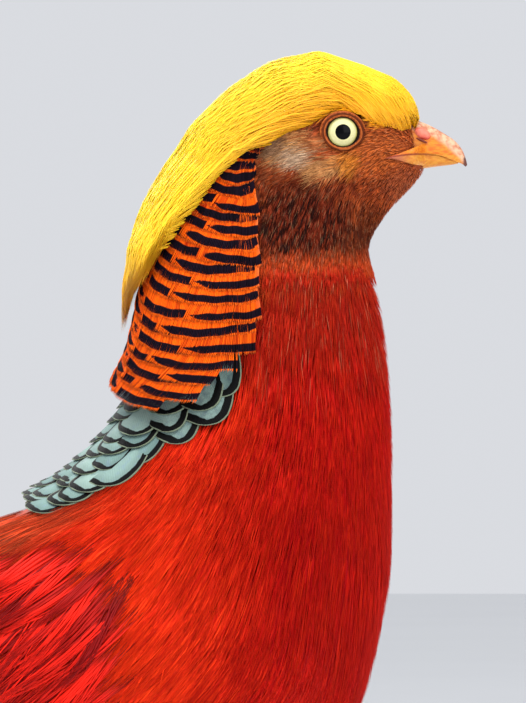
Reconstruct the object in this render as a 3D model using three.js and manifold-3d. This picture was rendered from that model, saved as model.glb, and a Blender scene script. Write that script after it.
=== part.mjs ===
// A cock golden pheasant at life size, standing alert on both feet, in millimetres.
// It looks along +X with +Z up, and its left side is at +Y.
import * as THREE from 'three';
import { mergeVertices } from 'three/addons/utils/BufferGeometryUtils.js';
import Module from 'manifold-3d';

const wasm = await Module();
wasm.setup();

// Driving dimensions
const gap = 0.35; // between neighbouring pieces
const vaneThick = 0.7;
const tailLength = 690;
const tailDroop = THREE.MathUtils.degToRad(9);
const tailRoot = { x: -112, z: 168 };
const eye = { x: 92.6, z: 344.6, y: 8.3, radius: 7, opening: 5.3 };
const stance = { footX: 6, footY: 26, stagger: 8, toeHeight: 3.1, sole: 0.35 };
const hock = { x: -21, y: 26, z: 88 };

// The body's outline from bill to rump: a point on the back line, one on the front line below it,
// and the half width between them.
const outline = [
  { at: 'bill base', back: [116.4, 346.8], front: [121.4, 332.8], half: 6.3 },
  { at: 'forehead', back: [112.8, 354.6], front: [118.0, 328.8], half: 9.4 },
  { at: 'brow', back: [106.2, 360.8], front: [112.8, 323.6], half: 12.2 },
  { at: 'eye', back: [97.0, 365.4], front: [106.6, 316.6], half: 14.2 },
  { at: 'crown', back: [84.0, 366.6], front: [101.6, 306.6], half: 15.6 },
  { at: 'hind crown', back: [63.4, 355.4], front: [103.8, 295.4], half: 17.5 },
  { at: 'nape', back: [46.6, 329.0], front: [106.9, 279.6], half: 21.5 },
  { at: 'neck', back: [36.5, 297.0], front: [109.0, 257.0], half: 29.5 },
  { at: 'neck base', back: [27.5, 261.0], front: [109.5, 228.0], half: 41 },
  { at: 'shoulders', back: [3.0, 231.5], front: [106.8, 186.0], half: 51.5 },
  { at: 'back', back: [-34.0, 214.0], front: [88.0, 138.0], half: 57.5 },
  { at: 'loins', back: [-70.0, 206.5], front: [24.0, 107.0], half: 53 },
  { at: 'rump', back: [-97.0, 194.0], front: [-46.0, 120.0], half: 36 },
  { at: 'tail root', back: [-109.5, 178.5], front: [-94.0, 154.5], half: 15 },
];
const lastRow = outline.length - 1;
const headEnd = 5.3; // places along the outline where the body is parted
const neckEnd = 8.1;

// Small maths
const mix = (a, b, t) => a + (b - a) * t;
const clamp = (v, low, high) => Math.min(high, Math.max(low, v));
const ease = (from, to, v) => {
  const t = clamp((v - from) / (to - from), 0, 1);
  return t * t * (3 - 2 * t);
};
const radians = THREE.MathUtils.degToRad;
const steps = (from, to, count) => Array.from({ length: count + 1 }, (_, i) => mix(from, to, i / count));

// A value picked from the rows of the outline, carried smoothly past them.
function atRow(place, pick) {
  const s = clamp(place, 0, lastRow);
  const i = Math.min(Math.floor(s), lastRow - 1);
  const t = s - i;
  const row = (k) => pick(outline[clamp(k, 0, lastRow)]);
  const [a, b, c, d] = [row(i - 1), row(i), row(i + 1), row(i + 2)];
  const bend = (2 * a - 5 * b + 4 * c - d) * t * t;
  return 0.5 * (2 * b + (c - a) * t + bend + (3 * b - a - 3 * c + d) * t ** 3);
}

// A smooth value through [place, value] pairs.
function through(pairs, place) {
  if (place <= pairs[0][0]) return pairs[0][1];
  for (let i = 1; i < pairs.length; i++) {
    const [p, v] = pairs[i];
    if (place <= p) return mix(pairs[i - 1][1], v, ease(pairs[i - 1][0], p, place));
  }
  return pairs[pairs.length - 1][1];
}

// A point on the bare outline. Turn is 0 on the back line, half a turn on the front line, and
// positive on the left.
function onBody(place, turn) {
  const back = [atRow(place, (r) => r.back[0]), atRow(place, (r) => r.back[1])];
  const front = [atRow(place, (r) => r.front[0]), atRow(place, (r) => r.front[1])];
  const c = Math.cos(turn);
  const s = Math.sin(turn);
  const fullness = 0.1 * (1 - ease(3.5, 6.5, place)) - 0.05 * ease(8, 10, place);
  const across = Math.sign(s) * Math.abs(s) ** 0.94 * (1 - fullness * c);
  return new THREE.Vector3(
    mix(front[0], back[0], (1 + c) / 2),
    across * atRow(place, (r) => r.half),
    mix(front[1], back[1], (1 + c) / 2),
  );
}

// The same point lifted off the body along its normal, with that normal.
function offBody(place, turn, lift) {
  const step = 0.02;
  const low = clamp(place - step, 0, lastRow);
  const high = clamp(place + step, 0, lastRow);
  const down = onBody(high, turn).sub(onBody(low, turn));
  const round = onBody(place, turn + step).sub(onBody(place, turn - step));
  const normal = round.cross(down).normalize();
  return { point: onBody(place, turn).addScaledVector(normal, lift), normal };
}

// Millimetres for each unit of place and of turn.
function spread(place, turn) {
  const step = 0.05;
  const low = clamp(place - step, 0, lastRow);
  const high = clamp(place + step, 0, lastRow);
  return {
    down: onBody(high, turn).distanceTo(onBody(low, turn)) / (high - low),
    round: onBody(place, turn + step).distanceTo(onBody(place, turn - step)) / (2 * step),
  };
}

// Closed solids from lists of points and faces
function solidOf(points, faces) {
  return new wasm.Manifold(new wasm.Mesh({
    numProp: 3,
    vertProperties: new Float32Array(points.flatMap((p) => [p.x, p.y, p.z])),
    triVerts: new Uint32Array(faces.flat()),
  }));
}

function solidFrom(geometry, matrix) {
  const bare = geometry.clone();
  bare.deleteAttribute('normal');
  bare.deleteAttribute('uv');
  if (matrix) bare.applyMatrix4(matrix);
  const merged = mergeVertices(bare, 1e-3);
  return new wasm.Manifold(new wasm.Mesh({
    numProp: 3,
    vertProperties: merged.attributes.position.array,
    triVerts: new Uint32Array(merged.index.array),
  }));
}

const joined = (solids) => wasm.Manifold.union(solids);

// The same solid with its surface moved out by a distance, which cuts neighbours clear of it.
function grown(solid, distance = gap) {
  const mesh = solid.getMesh();
  const at = (k) => new THREE.Vector3(...mesh.vertProperties.subarray(3 * k, 3 * k + 3));
  const count = mesh.vertProperties.length / 3;
  const leans = Array.from({ length: count }, () => []);
  for (let i = 0; i < mesh.triVerts.length; i += 3) {
    const [a, b, c] = mesh.triVerts.subarray(i, i + 3);
    const normal = at(b).sub(at(a)).cross(at(c).sub(at(a)));
    if (normal.length() < 1e-9) continue;
    for (const k of [a, b, c]) leans[k].push(normal.clone());
  }
  const points = [];
  for (let k = 0; k < count; k++) {
    const sum = leans[k].reduce((total, n) => total.add(n), new THREE.Vector3()).normalize();
    const slack = leans[k].reduce((least, n) => Math.min(least, n.clone().normalize().dot(sum)), 1);
    points.push(at(k).addScaledVector(sum, distance / Math.max(slack, 0.45)));
  }
  const faces = [];
  for (let i = 0; i < mesh.triVerts.length; i += 3) faces.push([...mesh.triVerts.subarray(i, i + 3)]);
  return solidOf(points, faces);
}

function largest(solid) {
  return solid.decompose().reduce((a, b) => (b.volume() > a.volume() ? b : a));
}

// A closed skin over rings of points, with a flat end on each side. The rings run against the
// clock as seen from the far end.
function loft(rings) {
  const n = rings[0].length;
  const points = rings.flat();
  const faces = [];
  for (let i = 0; i + 1 < rings.length; i++) {
    for (let j = 0; j < n; j++) {
      const a = i * n + j;
      const b = i * n + ((j + 1) % n);
      faces.push([a, b, b + n], [a, b + n, a + n]);
    }
  }
  const endCap = (ring, first, flip) => {
    const centre = points.length;
    points.push(ring.reduce((sum, p) => sum.add(p), new THREE.Vector3()).divideScalar(n));
    for (let j = 0; j < n; j++) {
      const a = first + j;
      const b = first + ((j + 1) % n);
      faces.push(flip ? [b, a, centre] : [a, b, centre]);
    }
  };
  endCap(rings[0], 0, true);
  endCap(rings[rings.length - 1], (rings.length - 1) * n, false);
  return solidOf(points, faces);
}

// A thin closed plate. at(t, c) gives its lower and upper point at t from root to tip and c from
// one side, -1, to the other, 1. Rows are a count or a list of shares. Both faces are split alike.
function plate(rowsOrMarks, columns, at) {
  const marks = Array.isArray(rowsOrMarks) ? rowsOrMarks : steps(0, 1, rowsOrMarks);
  const rows = marks.length - 1;
  const points = [];
  for (let i = 0; i <= rows; i++) {
    for (let j = 0; j <= columns; j++) {
      const { under, over } = at(marks[i], (2 * j) / columns - 1);
      points.push(under, over);
    }
  }
  const faces = [];
  const under = (i, j) => 2 * (i * (columns + 1) + j);
  const over = (i, j) => under(i, j) + 1;
  const wall = (a, b, c, d) => faces.push([a, b, c], [a, c, d]);
  for (let i = 0; i < rows; i++) {
    for (let j = 0; j < columns; j++) {
      const even = (i + j) % 2 === 0;
      for (const [side, turned] of [[over, false], [under, true]]) {
        const [a, b, c, d] = [side(i, j), side(i + 1, j), side(i + 1, j + 1), side(i, j + 1)];
        const pair = even ? [[a, b, c], [a, c, d]] : [[a, b, d], [b, c, d]];
        for (const [x, y, z] of pair) faces.push(turned ? [x, z, y] : [x, y, z]);
      }
    }
    wall(under(i, 0), under(i + 1, 0), over(i + 1, 0), over(i, 0));
    wall(over(i, columns), over(i + 1, columns), under(i + 1, columns), under(i, columns));
  }
  for (let j = 0; j < columns; j++) {
    wall(over(0, j), over(0, j + 1), under(0, j + 1), under(0, j));
    wall(under(rows, j), under(rows, j + 1), over(rows, j + 1), over(rows, j));
  }
  const solid = solidOf(points, faces);
  return solid.volume() < 0 ? solidOf(points, faces.map(([a, b, c]) => [a, c, b])) : solid;
}

// The places along the outline where the body's rings lie, for each of its three pieces.
const bodySides = 24;
const headPlaces = steps(0, headEnd - 0.01, 12);
const neckPlaces = steps(headEnd + 0.01, neckEnd - 0.005, 9);
const torsoPlaces = [...steps(neckEnd + 0.005, 9.6, 6), ...steps(9.9, lastRow, 10)];

function bodyPiece(places) {
  const rings = places.map((place) =>
    Array.from({ length: bodySides }, (_, j) => onBody(place, (2 * Math.PI * j) / bodySides)));
  const solid = loft(rings);
  return solid.volume() < 0 ? loft(rings.map((ring) => ring.slice().reverse())) : solid;
}

// The whole body grown by the gap, which cuts what lies on it clear of it.
const clearOfBody = grown(bodyPiece([...headPlaces, ...neckPlaces, ...torsoPlaces]));

// A sheet that lies on the body: reach gives its half width as a turn at each place, and over its
// upper lift. Its underside is sunk, and is cut by the body later.
function bodySheet({ from, to, rows, columns, reach, over, under = () => -2 }) {
  return plate(rows, columns, (t, c) => {
    const place = mix(from, to, t);
    const turn = c * reach(place);
    return {
      under: offBody(place, turn, under(place, turn)).point,
      over: offBody(place, turn, over(place, turn)).point,
    };
  });
}

// A tier of feathers: their roots share one band, sunk in the core, and past it each vane is free.
// shares are the feathers' places across the field, from -1 to 1, and half their half width there.
// from and to give the places of root and tip, lift the height and shape the width along a vane.
const vaneMarks = [0, 0.14, 0.8, 1];
const lockMarks = [0, 0.14, 0.42, 0.7, 1];

function tier(layout) {
  const { shares, half, from, to, field, lift, shape } = layout;
  const { sunk = 2, tilt = 0, thick = vaneThick, marks = vaneMarks } = layout;
  const rows = marks.length - 1;
  const columns = 2 * shares.length;
  const points = [];
  for (let i = 0; i <= rows; i++) {
    const t = marks[i];
    for (let j = 0; j < columns; j++) {
      const share = shares[j >> 1];
      const c = j % 2 ? 1 : -1;
      const place = mix(from(share), to(share), t);
      const width = half * (i < 2 ? shape(marks[1]) : shape(t));
      const turn = field(place, share + c * width);
      const high = lift(t, place, turn, share) + (i === 0 ? -sunk : tilt * c * shape(t));
      const body = thick * (1 - 0.3 * t);
      points.push(offBody(place, turn, high - body / 2).point, offBody(place, turn, high + body / 2).point);
    }
  }
  const faces = [];
  const under = (i, j) => 2 * (i * columns + j);
  const over = (i, j) => under(i, j) + 1;
  const kept = (i, j) => i >= 0 && i < rows && j >= 0 && j < columns - 1 && (i === 0 || j % 2 === 0);
  const wall = (a, b, c, d) => faces.push([a, b, c], [a, c, d]);
  for (let i = 0; i < rows; i++) {
    for (let j = 0; j < columns - 1; j++) {
      if (!kept(i, j)) continue;
      for (const [side, turned] of [[over, false], [under, true]]) {
        const [a, b, c, d] = [side(i, j), side(i + 1, j), side(i + 1, j + 1), side(i, j + 1)];
        for (const [x, y, z] of [[a, b, c], [a, c, d]]) faces.push(turned ? [x, z, y] : [x, y, z]);
      }
      if (!kept(i, j - 1)) wall(under(i, j), under(i + 1, j), over(i + 1, j), over(i, j));
      if (!kept(i, j + 1)) wall(over(i, j + 1), over(i + 1, j + 1), under(i + 1, j + 1), under(i, j + 1));
      if (!kept(i - 1, j)) wall(over(i, j), over(i, j + 1), under(i, j + 1), under(i, j));
      if (!kept(i + 1, j)) wall(under(i + 1, j), under(i + 1, j + 1), over(i + 1, j + 1), over(i + 1, j));
    }
  }
  const solid = solidOf(points, faces);
  return solid.volume() < 0 ? solidOf(points, faces.map(([a, b, c]) => [a, c, b])) : solid;
}

// The place from which a feather of this length has its tip at a given place.
const rootFor = (tipPlace, turn, length) => tipPlace - length / spread(tipPlace - 0.4, turn).down;

// Shares spread evenly from side to side, with a half step of shift on every other tier.
function sharesAcross(count, shifted) {
  const step = 2 / count;
  const length = shifted ? count - 1 : count;
  return Array.from({ length }, (_, i) => -1 + step * (i + (shifted ? 1 : 0.5)));
}

const swell = (t) => Math.sin((Math.PI * Math.min(t, 1)) / 2);
const squareTip = (t) => 0.7 + 0.3 * swell(1.3 * t) - 0.25 * ease(0.85, 1, t);
const roundTip = (t) => 0.65 + 0.35 * swell(1.6 * t) - 0.62 * ease(0.66, 1, t) ** 1.4;
const pointedTip = (t) => (t < 0.4 ? 0.7 + 0.75 * t : 1 - 0.93 * ((t - 0.4) / 0.6) ** 1.3);

// Finishes a covering: its pieces are joined, cut clear of what they lie on and kept as one solid.
function covering(pieces, cutters = []) {
  return largest(cutters.reduce((solid, cutter) => solid.subtract(cutter), joined(pieces)));
}

// Colours
const finish = (color, roughness = 0.75) =>
  new THREE.MeshStandardMaterial({ color, roughness, metalness: 0 });
const finishes = {
  rust: finish(0x8a4526),
  scarlet: finish(0xc02a12),
  gold: finish(0xf7c928, 0.5),
  orange: finish(0xe8641c),
  slate: finish(0x7fa3a4),
  wing: finish(0x6e4030),
  tail: finish(0x5f4530),
  covert: finish(0xb84a20),
  horn: finish(0xe0a05a, 0.4),
  leg: finish(0xb79a55, 0.5),
  iris: finish(0xf0eaa0, 0.1),
};

const bird = new THREE.Group();
bird.name = 'golden_pheasant';

function addNode(name, solid, material) {
  const mesh = solid.getMesh();
  const geometry = new THREE.BufferGeometry();
  geometry.setAttribute('position', new THREE.BufferAttribute(mesh.vertProperties, 3));
  geometry.setIndex(new THREE.BufferAttribute(mesh.triVerts, 1));
  const part = new THREE.Mesh(geometry, material);
  part.name = name;
  bird.add(part);
}

const sides = [['right', -1], ['left', 1]];

// Eyes
const eyeAxis = (side) => new THREE.Vector3(0.13, side * 0.985, 0.06).normalize();
const eyeCentre = (side) => new THREE.Vector3(eye.x, side * eye.y, eye.z);

function ball(centre, radius, scale = [1, 1, 1], turned = new THREE.Quaternion(), wide = 14, high = 10) {
  const matrix = new THREE.Matrix4().compose(centre, turned, new THREE.Vector3(...scale));
  return solidFrom(new THREE.SphereGeometry(radius, wide, high), matrix);
}

const facing = (axis) => new THREE.Quaternion().setFromUnitVectors(new THREE.Vector3(0, 1, 0), axis);

function lidRing(side) {
  const ring = new THREE.TorusGeometry(eye.opening + 0.95, 1.05, 5, 16);
  const axis = eyeAxis(side);
  const turned = new THREE.Quaternion().setFromUnitVectors(new THREE.Vector3(0, 0, 1), axis);
  const centre = eyeCentre(side).addScaledVector(axis, 5.1);
  return solidFrom(ring, new THREE.Matrix4().compose(centre, turned, new THREE.Vector3(1.08, 0.98, 0.9)));
}

// Bill: each half is lofted from its upper and lower edge, with half widths, from gape to tip.
const upperBill = [
  { top: [113.2, 349.0], edge: [109.4, 336.0], half: 6.0 },
  { top: [117.6, 348.6], edge: [114.0, 336.3], half: 5.8 },
  { top: [122.6, 346.6], edge: [119.2, 337.0], half: 5.1 },
  { top: [126.6, 344.3], edge: [123.8, 337.0], half: 4.5 },
  { top: [130.0, 341.8], edge: [127.6, 336.0], half: 3.7 },
  { top: [132.5, 338.9], edge: [130.4, 334.9], half: 2.7 },
  { top: [133.9, 335.9], edge: [132.6, 334.2], half: 1.5 },
  { top: [134.5, 333.6], edge: [133.9, 333.0], half: 0.5 },
];
const lowerBill = [
  { top: [109.2, 335.4], edge: [110.6, 331.6], half: 5.2 },
  { top: [114.0, 335.7], edge: [115.0, 332.4], half: 5.0 },
  { top: [119.2, 336.3], edge: [120.2, 333.3], half: 4.3 },
  { top: [123.8, 336.3], edge: [124.4, 333.6], half: 3.6 },
  { top: [127.4, 335.3], edge: [127.8, 334.0], half: 2.5 },
  { top: [129.3, 334.6], edge: [129.4, 334.3], half: 1.2 },
];

function billHalf(rows, arch) {
  const n = 12;
  const rings = rows.map(({ top, edge, half }) => {
    const axis = new THREE.Vector2(top[0] - edge[0], top[1] - edge[1]);
    const tall = axis.length();
    axis.normalize();
    const ring = [];
    for (let j = 0; j < n; j++) {
      const a = (2 * Math.PI * j) / n;
      const c = Math.cos(a);
      const s = Math.sin(a);
      // The arched side is high and narrow, the other side flat across the mouth.
      const arched = arch > 0 ? c > 0 : c < 0;
      const rise = arched ? Math.abs(c) ** 0.9 : 0;
      const up = arch > 0 ? rise * tall : (1 - rise) * tall;
      const wide = arched ? Math.sign(s) * Math.abs(s) ** 0.8 : s;
      ring.push(new THREE.Vector3(edge[0] + axis.x * up, wide * half, edge[1] + axis.y * up));
    }
    return ring;
  });
  const solid = loft(rings);
  return solid.volume() < 0 ? loft(rings.map((ring) => ring.slice().reverse())) : solid;
}

const nostril = { x: 119.4, z: 343.9, y: 4.15 };
function nostrilCap(side) {
  const turned = new THREE.Quaternion().setFromAxisAngle(new THREE.Vector3(0, 1, 0), radians(28));
  const at = new THREE.Vector3(nostril.x, side * nostril.y, nostril.z);
  return ball(at, 1, [2.7, 1.25, 1.55], turned, 8, 6);
}
function nostrilSlit(side) {
  const turned = new THREE.Quaternion().setFromAxisAngle(new THREE.Vector3(0, 1, 0), radians(24));
  const at = new THREE.Vector3(nostril.x + 0.7, side * 5.1, nostril.z - 2.0);
  return ball(at, 1, [2.2, 1.1, 0.5], turned, 6, 5);
}

function makeBill() {
  const bare = billHalf(upperBill, 1);
  const lower = billHalf(lowerBill, -1);
  const caps = sides.map(([, side]) => nostrilCap(side));
  const slits = joined(sides.map(([, side]) => nostrilSlit(side)));
  addNode('bill_upper', largest(joined([bare.subtract(slits), ...caps])), finishes.horn);
  addNode('bill_lower', lower, finishes.horn);
  return joined([bare, lower, ...caps].map((solid) => grown(solid, 0.5)));
}

// Head, neck and torso: one outline, parted by thin cuts
function makeFlesh(bill) {
  let head = bodyPiece(headPlaces);
  for (const [, side] of sides) {
    const socket = ball(eyeCentre(side), eye.radius + 0.5, [1, 1, 1], facing(eyeAxis(side)));
    head = head.add(lidRing(side)).subtract(socket);
  }
  head = head.subtract(bill);
  addNode('head', largest(head), finishes.rust);
  for (const [name, side] of sides) {
    const eyeball = ball(eyeCentre(side), eye.radius, [1, 1, 1], facing(eyeAxis(side)));
    addNode('eye_' + name, eyeball, finishes.iris);
  }
  addNode('neck', bodyPiece(neckPlaces), finishes.scarlet);
  return bodyPiece(torsoPlaces);
}

// Cape: the height of its outer side above the neck, and how far round it reaches. Its feathers
// are square at the end and lie in tiers from the nape down to the hem.
const capeRise = [[5.15, 1], [5.8, 5.4], [6.6, 8.4], [7.4, 9.8], [8.2, 11]];
const capeHeight = (place, turn) =>
  through(capeRise, place) * (0.68 + 0.32 * Math.cos(clamp(turn, -1.5, 1.5)));
const capeReach = (place) =>
  through([[5.15, 0.6], [5.9, 1.12], [6.6, 1.34], [7.4, 1.4], [8.3, 1.25]], place);
const capeCore = (place, turn) => 0.5 + 0.36 * capeHeight(place, turn);
const capeField = (place, share) => share * (capeReach(place) - 0.08);
const hem = (turn) => 8.12 - 0.35 * turn * turn;
const capeTiers = 6;

function makeCape() {
  const core = bodySheet({
    from: 5.34,
    to: 7.45,
    rows: 5,
    columns: 8,
    reach: (p) => capeReach(p) - 0.05,
    over: (p, u) => capeCore(p, u) * (1 - 0.6 * ease(6.9, 7.45, p)),
  });
  const tiers = [];
  for (let k = 0; k < capeTiers; k++) {
    const up = 0.4 * (capeTiers - 1 - k);
    const length = mix(16, 31, k / (capeTiers - 1));
    const middle = hem(0) - up;
    const across = 2 * (capeReach(middle) - 0.08) * spread(middle - 0.3, 0.6).round;
    const count = Math.round(across / mix(11, 15, k / (capeTiers - 1)));
    const to = (share) => hem(capeField(middle, share)) - up;
    const shares = sharesAcross(count, k % 2 === 1);
    // Where the crest lies over the cape, a tier is parted in a run on each side of it.
    const bare = (share) => Math.abs(capeField(middle, share)) >= crestReach(middle) - 0.1;
    const halves = [shares.filter((f) => f < 0 && bare(f)), shares.filter((f) => f > 0 && bare(f))];
    const runs = bare(shares[count >> 1]) ? [shares] : halves;
    for (const run of runs) {
      tiers.push(tier({
        shares: run,
        half: 0.95 / count,
        from: (share) => Math.max(rootFor(to(share), capeField(middle, share), length), 5.38),
        to,
        field: capeField,
        lift: (t, p, u, share) => capeCore(p, u)
          + mix(0.75, Math.max(0.64 * capeHeight(to(share), u) - 0.9, 1.3), t),
        thick: 0.6,
        shape: squareTip,
      }));
    }
  }
  addNode('cape', covering([core, ...tiers], [clearOfBody]), finishes.orange);
}

// Crest: it lies on the crown and, past the nape, over the cape. Its locks taper and lie back.
const crestSpan = [
  [0.25, 0.75], [1.2, 1.2], [2.5, 1.3], [4, 1.16], [5, 0.94], [6, 0.62], [7, 0.36], [7.5, 0.12],
];
const crestRise = [[0.2, 0.9], [1.5, 3.2], [4, 5.4], [5.2, 6.8], [6.6, 6.8], [7.5, 1.6]];
const crestReach = (place) => through(crestSpan, place);
const crestHeight = (place, turn) => through(crestRise, place) * (0.55 + 0.45 * Math.cos(1.1 * turn));
const crestBase = (place, turn) =>
  (place < 5.05 ? 0 : (capeHeight(place, turn) + 1.0) * ease(5.05, 5.3, place));
const crestField = (place, share) => share * crestReach(place) * 0.96;
const crestRows = [
  { from: 0.5, to: 1.9, count: 4 },
  { from: 1.4, to: 3.0, count: 5 },
  { from: 2.4, to: 4.0, count: 6 },
  { from: 3.4, to: 4.95, count: 7 },
  { from: 4.3, to: 5.7, count: 6 },
  { from: 5.4, to: 6.4, count: 4 },
  { from: 6.05, to: 7.1, count: 3 },
  { from: 6.65, to: 7.62, count: 2 },
];

function makeCrest(cutters) {
  const crown = bodySheet({
    from: 0.3,
    to: 5.12,
    rows: 8,
    columns: 6,
    reach: (p) => crestReach(p) * 0.92,
    over: (p, u) => 0.3 + 0.38 * crestHeight(p, u),
  });
  const mane = bodySheet({
    from: 4.95,
    to: 7.3,
    rows: 6,
    columns: 4,
    reach: (p) => crestReach(p) * 0.92,
    under: (p, u) => capeHeight(p, u) + 1.0,
    over: (p, u) => capeHeight(p, u) + 1.3 + 0.38 * crestHeight(p, u),
  });
  const tiers = crestRows.map(({ from, to, count }, k) => tier({
    shares: sharesAcross(count, k % 2 === 1),
    half: 0.94 / count,
    from: () => from,
    to: (share) => to - 0.12 * share * share * (to - from),
    field: crestField,
    lift: (t, p, u) => crestBase(p, u) + 0.3 + 0.38 * crestHeight(p, u)
      + mix(0.75, Math.max(0.62 * crestHeight(to, u) - 0.6, 1.6), t),
    thick: 0.65,
    shape: pointedTip,
    marks: lockMarks,
  }));
  addNode('crest', covering([crown, mane, ...tiers], [clearOfBody, ...cutters]), finishes.gold);
}

// Mantle: round blue-green scale feathers on the upper back
const mantleReach = (place) =>
  through([[7.7, 1.2], [8.35, 1.05], [8.7, 0.82], [9.1, 0.66], [9.5, 0.34]], place);
const mantleField = (place, share) => share * (mantleReach(place) - 0.04);
const mantleTiers = 5;

function makeMantle() {
  const core = bodySheet({
    from: 7.86,
    to: 9.2,
    rows: 6,
    columns: 2,
    reach: (p) => mantleReach(p) * 0.3,
    under: () => 0.9,
    over: () => 1.6,
  });
  const tiers = [];
  for (let k = 0; k < mantleTiers; k++) {
    const tip = mix(8.38, 9.5, k / (mantleTiers - 1));
    const across = 2 * mantleReach(tip - 0.2) * spread(tip - 0.2, 0.5).round;
    const count = Math.max(3, Math.round(across / 16));
    const to = (share) => tip - 0.1 * share * share;
    tiers.push(tier({
      shares: sharesAcross(count, k % 2 === 1),
      half: 0.95 / count,
      from: (share) => rootFor(to(share), 0, 20),
      to,
      field: mantleField,
      lift: (t) => mix(2.2, 4.0, t),
      sunk: 0.95,
      thick: 0.6,
      shape: roundTip,
    }));
  }
  addNode('mantle', covering([core, ...tiers]), finishes.slate);
}

// Rump: golden plumes on the lower back, between the wings
const rumpReach = (place) => through([[9.4, 0.36], [10, 0.52], [11, 0.58], [12, 0.78], [13, 1.2]], place);
const rumpField = (place, share) => share * (rumpReach(place) - 0.04);
const rumpTiers = [[9.5, 10.7], [10.25, 11.5], [11.05, 12.25], [11.85, 12.97]];

function makeRump() {
  const core = bodySheet({
    from: 9.42,
    to: 12.6,
    rows: 9,
    columns: 2,
    reach: (p) => rumpReach(p) * 0.35,
    under: () => 0.95,
    over: () => 2.2,
  });
  const tiers = rumpTiers.map(([from, to], k) => tier({
    shares: sharesAcross(5, k % 2 === 1),
    half: 0.19,
    from: () => from,
    to: (share) => to - 0.1 * share * share,
    field: rumpField,
    lift: (t) => mix(2.9, 5.0, t),
    sunk: 1.2,
    shape: pointedTip,
    marks: [0, 0.12, 0.4, 0.7, 1],
  }));
  addNode('rump', covering([core, ...tiers]), finishes.gold);
}

// Wings: folded along the flanks, in rows from the shoulder back
const wingTop = (place) => through([[9.4, 0.74], [10, 0.62], [11, 0.68], [12, 0.9], [12.9, 1.35]], place);
const wingLow = (place) => through([[9.4, 1.5], [10, 1.85], [11, 1.95], [12, 1.95], [12.9, 1.9]], place);
const wingCore = 3.2;
const flightMarks = [0, 0.08, 0.27, 0.46, 0.65, 0.84, 1];
const covertMarks = [0, 0.14, 0.45, 0.8, 1];
const wingRows = [
  { // flight feathers
    from: 10.3,
    first: 0.1,
    last: 1.0,
    tips: [12.75, 11.7],
    count: 7,
    high: [0.9, 1.6],
    tilt: 0.3,
    marks: flightMarks,
  },
  { // greater coverts
    from: 9.95,
    first: 0.06,
    last: 0.94,
    tips: [11.1, 10.9],
    count: 6,
    high: [0.9, 4.2],
    tilt: 0.3,
    marks: covertMarks,
  },
  { // median coverts
    from: 9.62,
    first: 0.42,
    last: 0.88,
    tips: [10.45, 10.4],
    count: 3,
    high: [0.9, 5.2],
    tilt: 0.2,
  },
  { // scapulars
    from: 9.5,
    first: 0.02,
    last: 0.26,
    tips: [11.0, 10.8],
    count: 2,
    high: [1.9, 6.6],
    tilt: 0.2,
    marks: covertMarks,
  },
];

function makeWing(name, side) {
  const field = (place, share) => side * mix(wingTop(place), wingLow(place), share);
  const core = plate(6, 2, (t, c) => {
    const place = mix(9.5, 11.6, t);
    const turn = field(place, mix(0.14, 0.5, (1 + c) / 2));
    return { under: offBody(place, turn, 1.1).point, over: offBody(place, turn, wingCore).point };
  });
  const tiers = wingRows.map(({ from, first, last, tips, count, high, tilt, marks }) => tier({
    shares: steps(first, last, count - 1),
    half: (0.475 * (last - first)) / (count - 1),
    from: () => from,
    to: (share) => mix(tips[0], tips[1], (share - first) / (last - first)),
    field,
    lift: (t) => wingCore + mix(high[0], high[1], t),
    sunk: 1.5 + (high[0] - 0.8),
    tilt,
    shape: roundTip,
    marks,
  }));
  addNode('wing_' + name, covering([core, ...tiers]), finishes.wing);
}

// Tail: nested vanes under one roof shape, from a short root behind the rump
const tailAxis = (l) => ({
  x: tailRoot.x - l * Math.cos(tailDroop),
  z: tailRoot.z - l * Math.sin(tailDroop) + 8 * Math.sin(Math.PI * clamp(l / tailLength, 0, 1)),
});
const pitch = 0.36; // the fall of each half of the tail's roof to its side
const tailFeathers = [
  { length: tailLength, half: 18, rows: 8 },
  { length: 560, half: 13.5, rows: 5 },
  { length: 430, half: 13, rows: 4 },
  { length: 340, half: 12.5, rows: 4 },
  { length: 270, half: 12.5, rows: 3 },
  { length: 220, half: 12, rows: 3 },
  { length: 180, half: 12, rows: 3 },
];
const tailBlade = (t) => (t < 0.3 ? 0.8 + 0.67 * t : 1 - 0.94 * ((t - 0.3) / 0.7) ** 1.7);

// A long vane on one slope of the roof, or across its ridge where it has two columns.
function tailVane(vane) {
  const { length, half, centre, level, from, rows } = vane;
  const { fan = 0, columns = 1, shape = tailBlade, thick = vaneThick } = vane;
  const side = Math.sign(centre) || 1;
  return plate(rows, columns, (t, c) => {
    const l = mix(from, length, t);
    const wide = half * shape(t) * mix(0.55, 1, ease(0, 90, l));
    const middle = tailAxis(l);
    const ridge = columns === 2 ? centre : 0;
    const offRidge = 0.3 + fan * l + (1 + side * c) * wide + Math.abs(centre);
    const inner = columns === 2 ? centre + c * wide : side * offRidge;
    const high = middle.z - pitch * Math.abs(inner - ridge) + level;
    const body = thick * (1 - 0.25 * t);
    return {
      under: new THREE.Vector3(middle.x, inner, high - body / 2),
      over: new THREE.Vector3(middle.x, inner, high + body / 2),
    };
  });
}

// The front end of a piece behind the rump follows the slope in which the rump ends.
const behindRump = (z) => -110.4 + (178.5 - z) * 0.646;

function tailBlock(reach, low, high, rear) {
  return plate(1, 2, (t, c) => {
    const l = mix(0, rear, t);
    const middle = tailAxis(l);
    const y = c * reach[t];
    const top = middle.z - pitch * Math.abs(y) + high;
    const bottom = middle.z - pitch * Math.abs(y) + low;
    return {
      under: new THREE.Vector3(t === 0 ? behindRump(bottom) : middle.x, y, bottom),
      over: new THREE.Vector3(t === 0 ? behindRump(top) : middle.x, y, top),
    };
  });
}

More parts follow.
